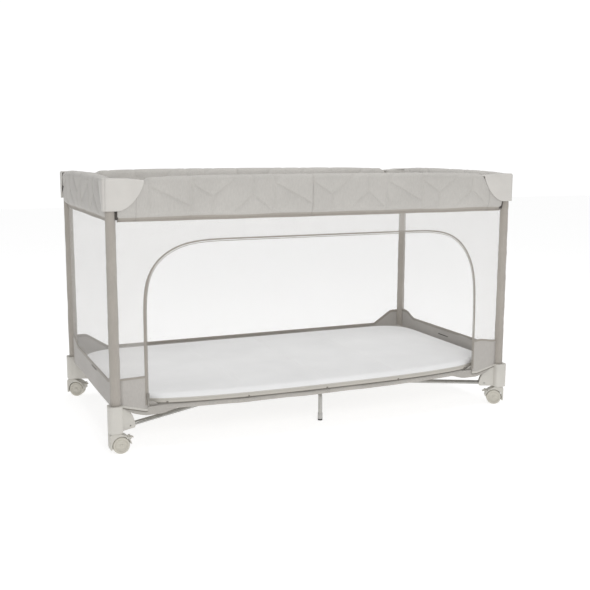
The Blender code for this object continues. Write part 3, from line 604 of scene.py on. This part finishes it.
def caster_wheels():
    """Twin wheels: a profile of tread, rim ring and dished hub, turned about the axle."""
    low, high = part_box("caster_wheel_front_left")
    outer = (high[1] - low[1]) / 2
    radius = (high[2] - low[2]) / 2
    rim = 0.0032
    half = np.array([
        (0.0000, outer - 0.0012), (0.0030, outer - 0.0012), (0.0040, outer - 0.0022),
        (0.0075, outer - 0.0026), (0.0125, outer - 0.0022), (0.0142, outer - 0.0008),
        (0.0152, outer - 0.0004), (0.0158, outer - 0.0012), (0.0164, outer - 0.0004),
        (radius - rim, outer), (radius - 0.0016, outer - 0.0004), (radius - 0.0004, outer - 0.0018),
        (radius, outer - 0.0040), (radius, 0.0060), (radius - 0.0006, 0.0040),
        (radius - 0.0022, 0.0033), (0.0032, 0.0033),
    ])
    profile = np.vstack([half, half[::-1] * (1, -1)])
    angle = np.linspace(0, 2 * np.pi, 56, endpoint=False)
    for corner in CORNERS:
        joint = JOINTS[f"wheel_{corner}_spin"]
        axle = np.array(joint["axis"], float)
        centre = np.array(joint["pos_m"], float)
        side = np.cross(axle, (0, 0, 1.0))
        ring = np.cos(angle)[:, None] * side + np.sin(angle)[:, None] * np.array((0, 0, 1.0))
        points = centre + ring[None] * profile[:, None, :1] + axle * profile[:, None, 1:]
        wheel = grid("wheels_" + corner, points, WHEEL_PLASTIC, round_v=True)
        closed_up(wheel)
        wheel.data.set_sharp_from_angle(angle=math.radians(50))
        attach(wheel, "wheel_" + corner)
        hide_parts("caster_wheel_" + corner)


# ---------------------------------------------------------------- quilted covers

QUILT_PERIOD = 0.342
QUILT = (  # seams as (along, share of the height) pairs, in one repeat
    ((0.000, -0.1), (0.000, 1.5)),
    ((0.057, -0.1), (0.057, 0.55)), ((0.057, 0.55), (0.000, 0.87)), ((0.057, 0.55), (0.130, 1.03)),
    ((0.168, 1.20), (0.168, 0.60)), ((0.168, 0.60), (0.115, 0.18)), ((0.168, 0.60), (0.218, 0.22)),
    ((0.229, -0.1), (0.229, 1.5)),
    ((0.229, 0.85), (0.342, 0.33)), ((0.229, 0.88), (0.262, 1.08)),
)


def seam_distance(along, height):
    """How far each point of the cloth is from the nearest quilting seam."""
    nearest = np.full(along.shape, 1.0)
    x = np.mod(along, QUILT_PERIOD)
    for shift in (-QUILT_PERIOD, 0.0, QUILT_PERIOD):
        for (x0, h0), (x1, h1) in QUILT:
            a = np.array((x0 + shift, h0 * COVER_TALL))
            b = np.array((x1 + shift, h1 * COVER_TALL))
            span = b - a
            t = np.clip(((x - a[0]) * span[0] + (height - a[1]) * span[1]) / (span @ span), 0, 1)
            nearest = np.minimum(nearest, np.hypot(x - a[0] - t * span[0], height - a[1] - t * span[1]))
    return nearest


COVER_WIDE = 0.0147  # half, before the padding swells
HEM = 0.0035
AROUND = 104  # points round a cover
SWELL, SWELL_OVER = 0.0028, 0.0100  # height of the padding, and how far from a seam it grows
STITCH, STITCH_OVER = 0.0015, 0.0027  # depth and half width of a seam's dip
SPLIT_END = 0.529  # where a long cover's end stays behind with its cap


def cover_section():
    """A drop shape as (outwards, height above the hem): round over the rail, narrow at the hem tape."""
    top = COVER_TALL - 0.002
    centre = top - COVER_WIDE
    right = np.vstack([
        (HEM * 0.35, -0.004), (HEM * 0.4, 0.004), (0.0105, 0.013), (0.0138, 0.030), (0.0146, 0.055),
        arc((0, centre), COVER_WIDE, 0, 88, 14),
    ])
    outline = np.vstack([right, right[::-1] * (-1, 1)])
    return softened(spaced(outline, AROUND, closed=True), 5)


def cover_half(name, side, start, end, seam_at, seed, cap_side, step=0.0027):
    """One stretch of a quilted cover, from start to end along its side.

    The drop section is carried along the rail. Each point then moves outwards by the padding's
    swell, which is nothing at a seam and grows with the distance from it, and in by the pull of the
    stitches. Near a cap the top dips under the cap's plate and the lower end rounds up to the leg.
    """
    axis = SIDES[side][0]
    along = np.linspace(start, end, max(4, int(round(abs(end - start) / step)) + 1))
    section = cover_section()
    closed = np.vstack([section, section[:1]])
    path = np.concatenate([[0], np.cumsum(np.linalg.norm(np.diff(closed, axis=0), axis=1))])
    # the distance up the cloth from the hem, the same on the outer and the inner face
    lowest = int(np.argmin(section[:, 1]))
    gone = np.mod(path[:-1] - path[lowest], path[-1])
    up = np.minimum(gone, path[-1] - gone)
    tangent = np.roll(section, -1, 0) - np.roll(section, 1, 0)
    normal = np.stack([tangent[:, 1], -tangent[:, 0]], axis=1)
    normal /= np.linalg.norm(normal, axis=1, keepdims=True)
    if (normal[:, 0] * section[:, 0]).sum() < 0:
        normal = -normal
    a = along[:, None] + 0 * up[None]
    u = up[None] + 0 * a
    away = seam_distance(a - seam_at, u)
    swell = SWELL * (1 - np.exp(-(away / SWELL_OVER) ** 1.5))
    swell = swell - STITCH * np.exp(-(away / STITCH_OVER) ** 2)
    near = np.exp(-((away - 0.009) / 0.008) ** 2)
    swell += 0.00022 * near * ripple(a, u, seed, 0.017) + 0.0004 * ripple(a, u, seed + 1, 0.07)
    hem = smoothstep(u, 0.004, 0.020)
    swell = swell * hem - 0.0003
    if cap_side:
        under = smoothstep(np.abs(along), CAP_REACH - 0.016, CAP_REACH + 0.002)[:, None]
        swell = swell * (1 - 0.75 * under)
    across = section[None, :, 0] + normal[None, :, 0] * swell
    lift = np.where(normal[None, :, 1] > 0, 0.3, 1.0)
    height = section[None, :, 1] + normal[None, :, 1] * swell * lift
    # the top of the cover is highest in the middle of a long side
    reach = LEG[0] if axis == "x" else LEG[1]
    drop = 1 - (0.090 if axis == "x" else 0.060) * np.abs(along / reach)[:, None] ** 4
    height = height * drop
    height += 0.0012 * ripple(along, 0 * along, seed + 2, 0.16)[:, None] * (1 - height / COVER_TALL)
    if cap_side:
        height = np.where(height > 0.045, 0.045 + (height - 0.045) * (1 - 0.11 * under), height)
        rise = np.clip((np.abs(along) - 0.566) / 0.010, 0, 1)[:, None] ** 2 * 0.0060
        height = np.maximum(height, rise + (height - rise) * 0.25 * (height < rise))
        across = across * (1 - 0.12 * np.clip((np.abs(along) - 0.545) / 0.027, 0, 1)[:, None] ** 2)
    z = COVER_LOW[2] + height
    points = on_side(side, a, across, z)
    uv = np.stack([a, u], axis=2)
    tape = 1 - smoothstep(u, 0.0075, 0.0085)
    return grid(name, points, COVER, round_v=True, ends=True, uv=uv, marks=tape)


def hem_tape(name, side, start, end, body):
    """The flat tape sewn under the lower edge of a cover."""
    along = np.linspace(start, end, max(4, int(abs(end - start) / 0.012)))
    height = COVER_LOW[2] - 0.0022 + 0.0005 * ripple(along, 0 * along, 17, 0.12)
    path = on_side(side, along, 0.0, height)
    tape = swept(name, path, oblong(0.0066, 0.0026, 16), facing(side), TAPE)
    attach(tape, body)
    if "rail" in body:
        gathers_to_rail(tape)


def gathers_to_rail(piece):
    """Cloth that hangs from a half rail gets its own copy of its mesh."""
    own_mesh(piece)


def covers():
    """Each side's cover: a half on each half rail, and on a long side an end that stays by each cap."""
    for number, (side, (axis, _, corners)) in enumerate(SIDES.items()):
        long_side = axis == "x"
        seam = -0.043 if long_side else 0.0
        end = COVER_HIGH[0] + 0.0035 if long_side else SHORT_COVER_END + 0.0145
        stop = SPLIT_END if long_side else end
        for corner, (start, finish) in zip(corners, ((-stop, seam), (seam, stop))):
            rail = ("long_rail_" if long_side else "short_rail_") + corner
            name = f"{side}_{corner}"
            piece = cover_half("cover_" + name, side, start, finish, seam, 10 * number, long_side)
            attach(piece, rail)
            gathers_to_rail(piece)
            hem_tape("hem_" + name, side, start, finish, rail)
            if long_side:
                ends = sorted(np.sign(start + finish) * place for place in (SPLIT_END, end))
                tuft = cover_half("cover_end_" + name, side, *ends, seam, 10 * number, True)
                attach(tuft, "leg_" + corner)
                hem_tape("hem_end_" + name, side, *ends, "leg_" + corner)
        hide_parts("rail_cover_" + side)


# ---------------------------------------------------------------- legs, walls and bands


def sleeves():
    """Cloth tubes over the legs: looser low down, with two seam ridges where the walls join."""
    z = np.linspace(FOOT_TOP - 0.0006, CAP_LOW[2] + 0.002, 170)[:, None]
    angle = np.linspace(0, 2 * np.pi, 48, endpoint=False)[None]
    for number, (corner, (sx, sy)) in enumerate(CORNERS.items()):
        loose = 0.0010 * (1 - (z - FOOT_TOP) / 0.5)
        radius = SLEEVE_RADIUS + loose + 0.00035 * ripple(z, angle * 0.012, 40 + number, 0.035)
        radius = radius + 0.00025 * ripple(z * 0.25, angle * 0.02, 50 + number, 0.02)
        for towards in (math.atan2(0, -sx), math.atan2(-sy, 0)):
            turn = np.angle(np.exp(1j * (angle - towards)))
            radius = radius + 0.0016 * np.exp(-(turn / 0.14) ** 2)
        x = sx * LEG[0] + radius * np.cos(angle)
        y = sy * LEG[1] + radius * np.sin(angle)
        points = np.stack([x, y, z + 0 * angle], axis=2)
        sleeve = grid("leg_sleeve_" + corner, points[:, ::-1], SLEEVE, round_v=True)
        with_cloth_back(sleeve, 0.0007)
        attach(sleeve, "leg_" + corner)


def side_sheet(
    name, side, low, high, top, bottom, off, material, rows, seed, wave=0.0006, slot="mesh_fabric"
):
    """A sheet in a side's plane, from low to high along it and from bottom to top in height.

    The heights may be functions of the place along. It wavers a little, but not at its edges.
    """
    count = max(6, int((high - low) / 0.008))
    along = np.linspace(low, high, count)[:, None]
    share = np.linspace(0, 1, rows)[None]
    top = top(along) if callable(top) else top
    bottom = bottom(along) if callable(bottom) else bottom
    z = bottom + (top - bottom) * share + 0 * along
    edge = np.minimum(smoothstep(along, low, low + 0.03), 1 - smoothstep(along, high - 0.03, high))
    out = off + wave * ripple(along, z, seed, 0.22) * edge
    uv = np.stack([along + 0 * z, z], axis=2)
    return grid(name, on_side(side, along, out, z), material, uv=uv)


GATHERS_AT = {"front": "front_left", "right": "front_right", "left": "back_left", "back": "back_right"}


def folds(piece, side):
    """A wall's piece rides on one leg, with its own copy of its mesh."""
    leg = GATHERS_AT[side]
    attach(piece, "leg_" + leg)
    if SIDES[side][0] == "x":
        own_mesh(piece)
    else:
        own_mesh(piece)
    return piece


def arch(offset=0.0, count=220):
    """The door's edge from its left foot over the top to its right foot, drawn outwards by an offset.

    The left corner turns in a slanting shoulder, the right one in a rounder, longer bend.
    """
    foot = FLOOR_HIGH[2] + 0.002
    left = [(DOOR_LEFT, foot), (DOOR_LEFT, 0.300), (DOOR_LEFT, 0.400), (-0.503, 0.448), (-0.484, 0.490)]
    top = [(-0.443, 0.521), (-0.400, 0.538), (-0.340, DOOR_TOP), (0.0, DOOR_TOP), (0.330, DOOR_TOP)]
    right = [(0.375, 0.540), (0.422, 0.526), (0.460, 0.488), (0.489, 0.428), (0.496, 0.340)]
    line = np.array(left + top + right + [(DOOR_RIGHT, foot)])
    line = softened(spaced(line, 400), 130, closed=False)
    ahead = np.gradient(line, axis=0)
    ahead /= np.linalg.norm(ahead, axis=1, keepdims=True)
    line = line + np.stack([-ahead[:, 1], ahead[:, 0]], axis=1) * offset
    return spaced(line, count)


def front_net():
    """The front wall round the door: a surface between the door's edge and the wall's own outline."""
    inner = arch(0.002)
    reach = LEG[0] - SLEEVE_RADIUS - 0.0010
    shoulder = FOOT_TOP + 0.001
    outline = np.array([
        (-reach, shoulder), (-reach, WALL_TOP), (reach, WALL_TOP), (reach, shoulder),
    ])
    # each point of the door's edge goes to the outline in the same share of its own part
    t = np.linspace(0, 1, len(inner))
    turns = [
        t[np.argmin(np.abs(inner[:, 0] - x) + np.abs(inner[:, 1] - WALL_TOP))] for x in (-reach, reach)
    ]
    outer = np.stack([np.interp(t, [0, *turns, 1], outline[:, k]) for k in (0, 1)], axis=1)
    share = np.linspace(0, 1, 22)[None, :, None]
    plane = inner[:, None] * (1 - share) + outer[:, None] * share
    x, z = plane[..., 0], plane[..., 1]
    out = 0.0009 * ripple(x, z, 71, 0.2) * np.sin(np.pi * share[..., 0])
    net = grid("net_front", on_side("front", x, out, z), NET, uv=plane)
    folds(net, "front")
    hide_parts("mesh_wall_front")


def nets_and_bands():
    """Net and solid bands of the other three sides."""
    def back_top(x):
        return 0.147 + 0.043 * np.clip((np.abs(x) - 0.485) / 0.067, 0, 1)

    def short_top(y):
        return 0.174 + 0.020 * smoothstep(y, 0.20, 0.262) + 0.014 * smoothstep(-y, 0.22, 0.262)

    tops = {"back": back_top, "left": short_top, "right": short_top}
    for number, side in enumerate(("back", "left", "right")):
        axis, _, corners = SIDES[side]
        reach = (LEG[0] if axis == "x" else LEG[1]) - SLEEVE_RADIUS - 0.0010
        top = tops[side]
        net = side_sheet(
            "net_" + side, side, -reach, reach, WALL_TOP, lambda a: top(a) - 0.004,
            0.0, NET, 44, 80 + number,
        )
        folds(net, side)
        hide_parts("mesh_wall_" + side)
        mean = float(np.mean(top(np.linspace(-reach, reach, 99))))
        band = side_sheet(
            "band_" + side, side, -reach, reach, top, FLOOR_LOW[2] + 0.004,
            0.0006, BAND, 16, 90 + number, 0.0010, "floor_fabric",
        )
        folds(with_cloth_back(band), side)
        binding(side, top, reach)


SLOTS = {"left": (-0.038, 0.168), "right": (0.011, 0.154)}  # place along the side, height


def binding(side, top, reach):
    """The bound upper edge of a band, and on a short side a dark strip of painted shade for the small
    slot below it.
    """
    along = np.linspace(-reach, reach, 160)
    path, out = on_side(side, along, 0.0006, top(along) + 0.001), facing(side)
    folds(swept("binding_" + side, path, oblong(0.009, 0.0030), out, TAPE), side)
    if side in SLOTS:
        centre, height = SLOTS[side]
        # painted shade: a dark strip stands for the shade inside the slot
        edge = on_side(side, np.linspace(centre - 0.031, centre + 0.031, 30), 0.0012, height)
        folds(swept("band_slot_shade_" + side, edge, oblong(0.0032, 0.0016), out, SHADE_CLOTH), side)


SKIRT_FROM = 0.420  # from the middle of the front to a corner skirt's inner end


def corner_panels():
    """The solid cloth between each front leg and the door, low down, and its bound top edge."""
    reach = LEG[0] - SLEEVE_RADIUS - 0.0006
    for side_name, low, high, top, sway in (
        ("left", -reach, DOOR_LEFT - 0.001, 0.193, 0.0),
        ("right", DOOR_RIGHT + 0.001, reach, 0.202, 0.0035),
    ):
        def edge(x, top=top, sway=sway, low=low, high=high):
            share = (x - low) / (high - low)
            return top + sway * np.sin(share * 5.2) + 0.002 * share

        def foot(x):
            rise = FOOT_TOP - FLOOR_LOW[2] - 0.004
            return FLOOR_LOW[2] + rise * np.clip((np.abs(x) - 0.515) / 0.062, 0, 1)

        panel = side_sheet(
            "corner_panel_" + side_name, "front", low, high, edge, foot,
            0.0012, BAND, 24, 31, 0.0012, "floor_fabric",
        )
        folds(with_cloth_back(panel), "front")
        along = np.linspace(low, high, 50)
        for part, out, height, profile, cloth in (
            ("binding", 0.0014, edge(along), (0.006, 0.0028), TAPE),
            ("hem", 0.0016, foot(along), (0.0065, 0.0030), PIPING),
            ("edge", 0.0016, foot(along) - 0.0042, (0.0026, 0.0030), EDGE),
        ):
            path = on_side("front", along, out, height)
            name = f"corner_{part}_{side_name}"
            folds(swept(name, path, oblong(*profile), FRONT, cloth), "front")
        inner = -1 if side_name == "left" else 1

        def skirt_top(x):
            return foot(x) - 0.004 + 0.0115 * (1 - smoothstep(np.abs(x), 0.505, 0.520))

        def skirt_foot(x):
            fade = smoothstep(np.abs(x), 0.418, 0.475)
            return foot(x) - 0.004 - 0.0115 * smoothstep(reach - np.abs(x), 0.0, 0.040) * fade

        lower = side_sheet(
            "corner_skirt_" + side_name, "front", *np.sort([inner * SKIRT_FROM, inner * reach]),
            skirt_top, skirt_foot, -0.0020, BASE, 12, 35, 0.0010, "floor_fabric",
        )
        folds(with_cloth_back(lower), "front")


def zip_round_door():
    """The zip's tape along the door's edge, wider on the left, and its chain of small teeth."""
    line = arch(0.0032, 300)
    path = on_side("front", line[:, 0], 0.0012, line[:, 1])
    share = np.linspace(0, 1, len(path))
    width = 1.0 - 0.42 * smoothstep(share, 0.17, 0.24)
    tape = swept("zip_tape", path, oblong(0.0072, 0.0024), FRONT, TAPE,
                 widen=np.stack([width, np.ones_like(width)], axis=1))
    folds(tape, "front")
    line = arch(-0.0016, 1500)
    path = on_side("front", line[:, 0], 0.0016, line[:, 1])
    gone = np.concatenate([[0], np.cumsum(np.linalg.norm(np.diff(path, axis=0), axis=1))])
    teeth = 0.80 + 0.20 * np.sign(np.sin(gone * 2 * np.pi / 0.0048))
    chain = swept("zip_chain", path, oblong(0.0022, 0.0022, 8, 3.0), FRONT, TAPE,
                  widen=teeth)
    folds(chain, "front")


# ---------------------------------------------------------------- floor and mattress


def bed_outline(count=400):
    """The plan of the bed: round corners, and a front edge that bows out between the door's sides."""
    x, y = PAD_HIGH[0], PAD_HIGH[1]
    radius = 0.11
    share = np.linspace(-1, 1, 61)
    front = LEG[1] - 0.012
    bow_out = (-PAD_LOW[1] - front) * (1 - np.abs(share) ** 2.6) ** 0.7
    bow = np.stack([share * 0.485, -front - bow_out], axis=1)
    line = np.vstack([
        arc((x - radius, y - radius), radius, 0, 90, 14),
        arc((radius - x, y - radius), radius, 90, 180, 14),
        arc((radius - x, radius - front), radius, 180, 225, 8),
        bow,
        arc((x - radius, radius - front), radius, 315, 360, 8),
    ])
    return softened(spaced(line, count, closed=True), 6)


def inset(outline, amount):
    """The outline drawn in along its own normals."""
    ahead = np.roll(outline, -1, 0) - np.roll(outline, 1, 0)
    ahead /= np.linalg.norm(ahead, axis=1, keepdims=True)
    inward = np.stack([-ahead[:, 1], ahead[:, 0]], axis=1)
    return outline + inward * amount


def mattress():
    """A thin pad: its side swells between two piped edges, its top is crowned and creased."""
    outline = inset(bed_outline(640), 0.0025)
    low, high = PAD_LOW[2] + 0.0003, PAD_HIGH[2] - 0.0012
    centre = np.array((0.0, -0.02))
    seam = low + 0.0120
    shoulder = 0.0130
    edge = []
    for share in np.linspace(0, 1, 11):
        edge.append((-0.0020 * math.sin(math.pi * share) ** 0.8, low + (seam - low) * share, 1.0))
    rings = [(0.030, low, 0.0), (0.006, low, 0.0)] + edge
    for turn in np.radians(np.linspace(6, 90, 12)):
        rings.append((shoulder * (1 - math.cos(turn)), seam + (high - seam) * math.sin(turn), 0.0))
    points, marks = [], []
    for amount, z, mark in rings:
        ring = inset(outline, amount)
        points.append(np.column_stack([ring, np.full(len(ring), z)]))
        marks.append(np.full(len(ring), mark))
    inner = inset(outline, shoulder)
    for share in 1 - np.linspace(0, 1, 96)[1:] ** 0.9:
        ring = centre + (inner - centre) * share
        away = (1 - share) * 0.29
        dome = 0.0016 * smoothstep(away, 0.0, 0.05)
        x, y = ring[:, 0], ring[:, 1]
        crease = sum(np.exp(-((x - at) / 0.006) ** 2) for at in (-0.236, -0.005, 0.225))
        waver = 0.0005 * ripple(x, y, 61, 0.09) * smoothstep(away, 0.0, 0.03)
        z = high + dome - 0.0018 * crease + waver
        points.append(np.column_stack([ring, z]))
        marks.append(np.zeros(len(ring)))
    points = np.array(points)
    uv = points[..., :2].copy()
    round_side = slice(2, 2 + len(edge))
    along = np.concatenate([[0], np.cumsum(np.linalg.norm(np.diff(outline, axis=0), axis=1))])
    uv[round_side] = np.stack(np.broadcast_arrays(along[None], points[round_side, :, 2]), axis=2)
    marks = np.array(marks)
    pad = grid("mattress_pad", points, PAD, round_v=True, uv=uv, marks=marks)
    closed_up(pad, range(len(outline)))
    rises_with_fold(pad)
    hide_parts("mattress")
    notch_shades(outline, low)
    for name, z in (("upper", seam), ("lower", low + 0.0012)):
        ring = inset(outline, 0.0002)
        path = np.column_stack([ring, np.full(len(ring), z)])
        piping = swept("mattress_piping_" + name, path, oblong(0.0034, 0.0034, 12, 2.0), (0, 0, 1),
                       PIPING if name == "upper" else EDGE, closed=True)
        rises_with_fold(piping)


def notch_shades(outline, low):
    """Small dark marks of painted shade for the notches at the pad's lower front edge."""
    front = outline[outline[:, 1] < 0]
    for number, x in enumerate((-0.455, -0.236, -0.005, 0.225, 0.475)):
        y = front[np.argmin(np.abs(front[:, 0] - x)), 1] - 0.0006
        rise = np.linspace(low, low + 0.0055, 5)
        path = np.stack([x + 0 * rise, y + 0 * rise, rise], axis=1)
        name, profile = f"mattress_notch_shade_{number}", oblong(0.0060, 0.0036, 12)
        # painted shade: a small dark bump stands for the shade in each notch
        notch_shade = swept(name, path, profile, FRONT, EDGE)
        rises_with_fold(notch_shade)


def rises_with_fold(piece):
    """The mattress lies on top of the bundle when the frame is folded."""
    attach(piece, "mattress")
    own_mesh(piece)


def floor_quarters():
    """The floor under the mattress in four quarters, each on an arm, with a rolled hem at its rim."""
    outline = inset(bed_outline(640), -0.0005)
    low, high = FLOOR_LOW[2] - 0.0030, FLOOR_HIGH[2] - 0.0003
    middle_z, half = (low + high) / 2, (high - low) / 2
    roll = [
        (half * (1 - math.sin(t)) * 0.8, middle_z - half * math.cos(t))
        for t in np.linspace(0, math.pi, 11)
    ]
    for corner, (sx, sy) in CORNERS.items():
        inside = (np.sign(outline[:, 0]) == sx) & (np.sign(outline[:, 1]) == sy)
        number = np.nonzero(inside)[0]
        cut = np.nonzero(np.diff(number) > 1)[0]
        if len(cut):
            number = np.roll(number, -(cut[0] + 1))
        line = outline[number]
        # its two ends are put on the lines between the quarters
        for end in (0, -1):
            axis = int(np.argmin(np.abs(line[end])))
            line[end, axis] = 0.0
        rows = [(0.0, low)] + [(share, low) for share in np.linspace(0.08, 0.98, 12)]
        points = [np.column_stack([line * share, np.full(len(line), z)]) for share, z in rows]
        for amount, z in roll:
            length = np.linalg.norm(line, axis=1, keepdims=True)
            points.append(np.column_stack([line * (1 - amount / length), np.full(len(line), z)]))
        top = np.full(len(line), high)
        points += [np.column_stack([line * share, top]) for share in np.linspace(0.97, 0.0, 12)]
        points = np.array(points)
        x, y = points[..., 0], points[..., 1]
        points[..., 2] += 0.0006 * ripple(x, y, 66, 0.12)
        quarter = grid("floor_" + corner, points, BASE, uv=points[..., :2].copy())
        rows, columns = points.shape[:2]
        sides = [[row * columns + side for row in range(rows)] for side in (0, columns - 1)]
        closed_up(quarter, *sides)
        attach(quarter, "arm_" + corner)
        plan = np.array((LEG[0] - 0.036 - abs(ARM_PIN[0]), LEG[1] - 0.020 - abs(ARM_PIN[1])))
        plan /= np.linalg.norm(plan)
        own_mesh(quarter)
        if corner == "front_left":
            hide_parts("floor_panel")


def gussets():
    """Cloth at each corner from the floor's rim up to the foot: a slack three-sided fold."""
    for corner, (sx, sy) in CORNERS.items():
        u = np.linspace(0, 1, 40)[:, None]
        v = np.linspace(0, 1, 26)[None]
        # the lower edge follows the bed's round corner, the upper edge runs to the foot from both walls
        angle = u * 0.5 * np.pi
        reach = np.array((PAD_HIGH[0] - 0.11, PAD_HIGH[1] - 0.11))
        low_x, low_y = reach[0] + 0.108 * np.cos(angle), reach[1] + 0.108 * np.sin(angle)
        high_x = np.interp(u, [0, 0.5, 1], [LEG[0] - 0.001, LEG[0] - 0.018, LEG[0] - 0.105])
        high_y = np.interp(u, [0, 0.5, 1], [LEG[1] - 0.105, LEG[1] - 0.016, LEG[1] - 0.001])
        x = low_x * (1 - v) + high_x * v
        y = low_y * (1 - v) + high_y * v
        lift = 1 - np.abs(2 * u - 1) ** 1.5
        z = FLOOR_LOW[2] + 0.006 + v * (0.012 + 0.017 * lift) - 0.004 * np.sin(np.pi * v) * lift
        points = np.stack([sx * x, sy * y, z + 0 * x], axis=2)
        gusset = grid("gusset_" + corner, points, BASE)
        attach(with_cloth_back(gusset), "leg_" + corner)


# ---------------------------------------------------------------- stage, light and camera


def stage():
    """A plain pale floor and a soft bright room."""
    mesh = bpy.data.meshes.new("stage_floor")
    mesh.from_pydata([(-9, -9, 0), (9, -9, 0), (9, 9, 0), (-9, 9, 0)], [], [(0, 1, 2, 3)])
    floor = placed("stage_floor", mesh)
    f = Finish(
        "stage paint", roughness=0.9, specular_ior_level=0.1,
        emission_color=(1, 1, 1, 1), emission_strength=0.72,
    )
    tone = f.spread(f.noise(1.2, 2), 0.99, 1.0)
    mesh.materials.append(f.done(base_color=f.tinted((0.50, 0.50, 0.50, 1), tone)))
    world = bpy.data.worlds.new("studio")
    bpy.context.scene.world = world
    world.use_nodes = True
    tree = world.node_tree
    back = tree.nodes["Background"]
    back.inputs[0].default_value = (1.0, 1.0, 1.0, 1)
    # the room looks white but lights the playpen less than that
    seen = tree.nodes.new("ShaderNodeLightPath").outputs["Is Camera Ray"]
    power = tree.nodes.new("ShaderNodeMapRange")
    tree.links.new(seen, power.inputs[0])
    power.inputs[3].default_value = 0.50
    power.inputs[4].default_value = 1.05
    tree.links.new(power.outputs[0], back.inputs[1])


def lamp(name, place, size, power, aim=(0, 0, 0.3)):
    """A round soft lamp turned towards the playpen."""
    data = bpy.data.lights.new(name, "AREA")
    data.shape, data.size, data.energy = "DISK", size, power
    made = placed(name, data)
    axis = np.array(place, float) - np.array(aim, float)
    made.location = place
    made.rotation_mode = "QUATERNION"
    made.rotation_quaternion = Vector(axis).to_track_quat("Z", "Y")
    return made


def lights():
    lamp("key", (-0.5, -3.2, 1.9), 1.4, 26)
    lamp("top", (0.3, 0.1, 3.0), 2.2, 30)


def camera():
    """A camera a little above the rails, to the left of the front side."""
    yaw, pitch, roll = math.radians(23.56), math.radians(9.45), math.radians(0.19)
    flat = math.cos(pitch)
    ahead = np.array((math.sin(yaw) * flat, math.cos(yaw) * flat, -math.sin(pitch)))
    level = np.array((math.cos(yaw), -math.sin(yaw), 0.0))
    up = np.cross(level, ahead)
    right = math.cos(roll) * level + math.sin(roll) * up
    up = -math.sin(roll) * level + math.cos(roll) * up
    data = bpy.data.cameras.new("camera")
    data.sensor_width = 36.0
    data.lens = 55.4034
    data.clip_end = 60
    made = placed("camera", data)
    place = Matrix((right, up, -ahead)).transposed().to_4x4()
    place.translation = (-1.072, -2.551, 0.792)
    made.matrix_world = place
    bpy.context.scene.camera = made


bpy.context.scene.view_settings.view_transform = "Standard"
camera()
stage()
lights()
hard_parts()
caster_wheels()
covers()
sleeves()
front_net()
nets_and_bands()
corner_panels()
zip_round_door()
corner_pads()
mattress()
floor_quarters()
gussets()
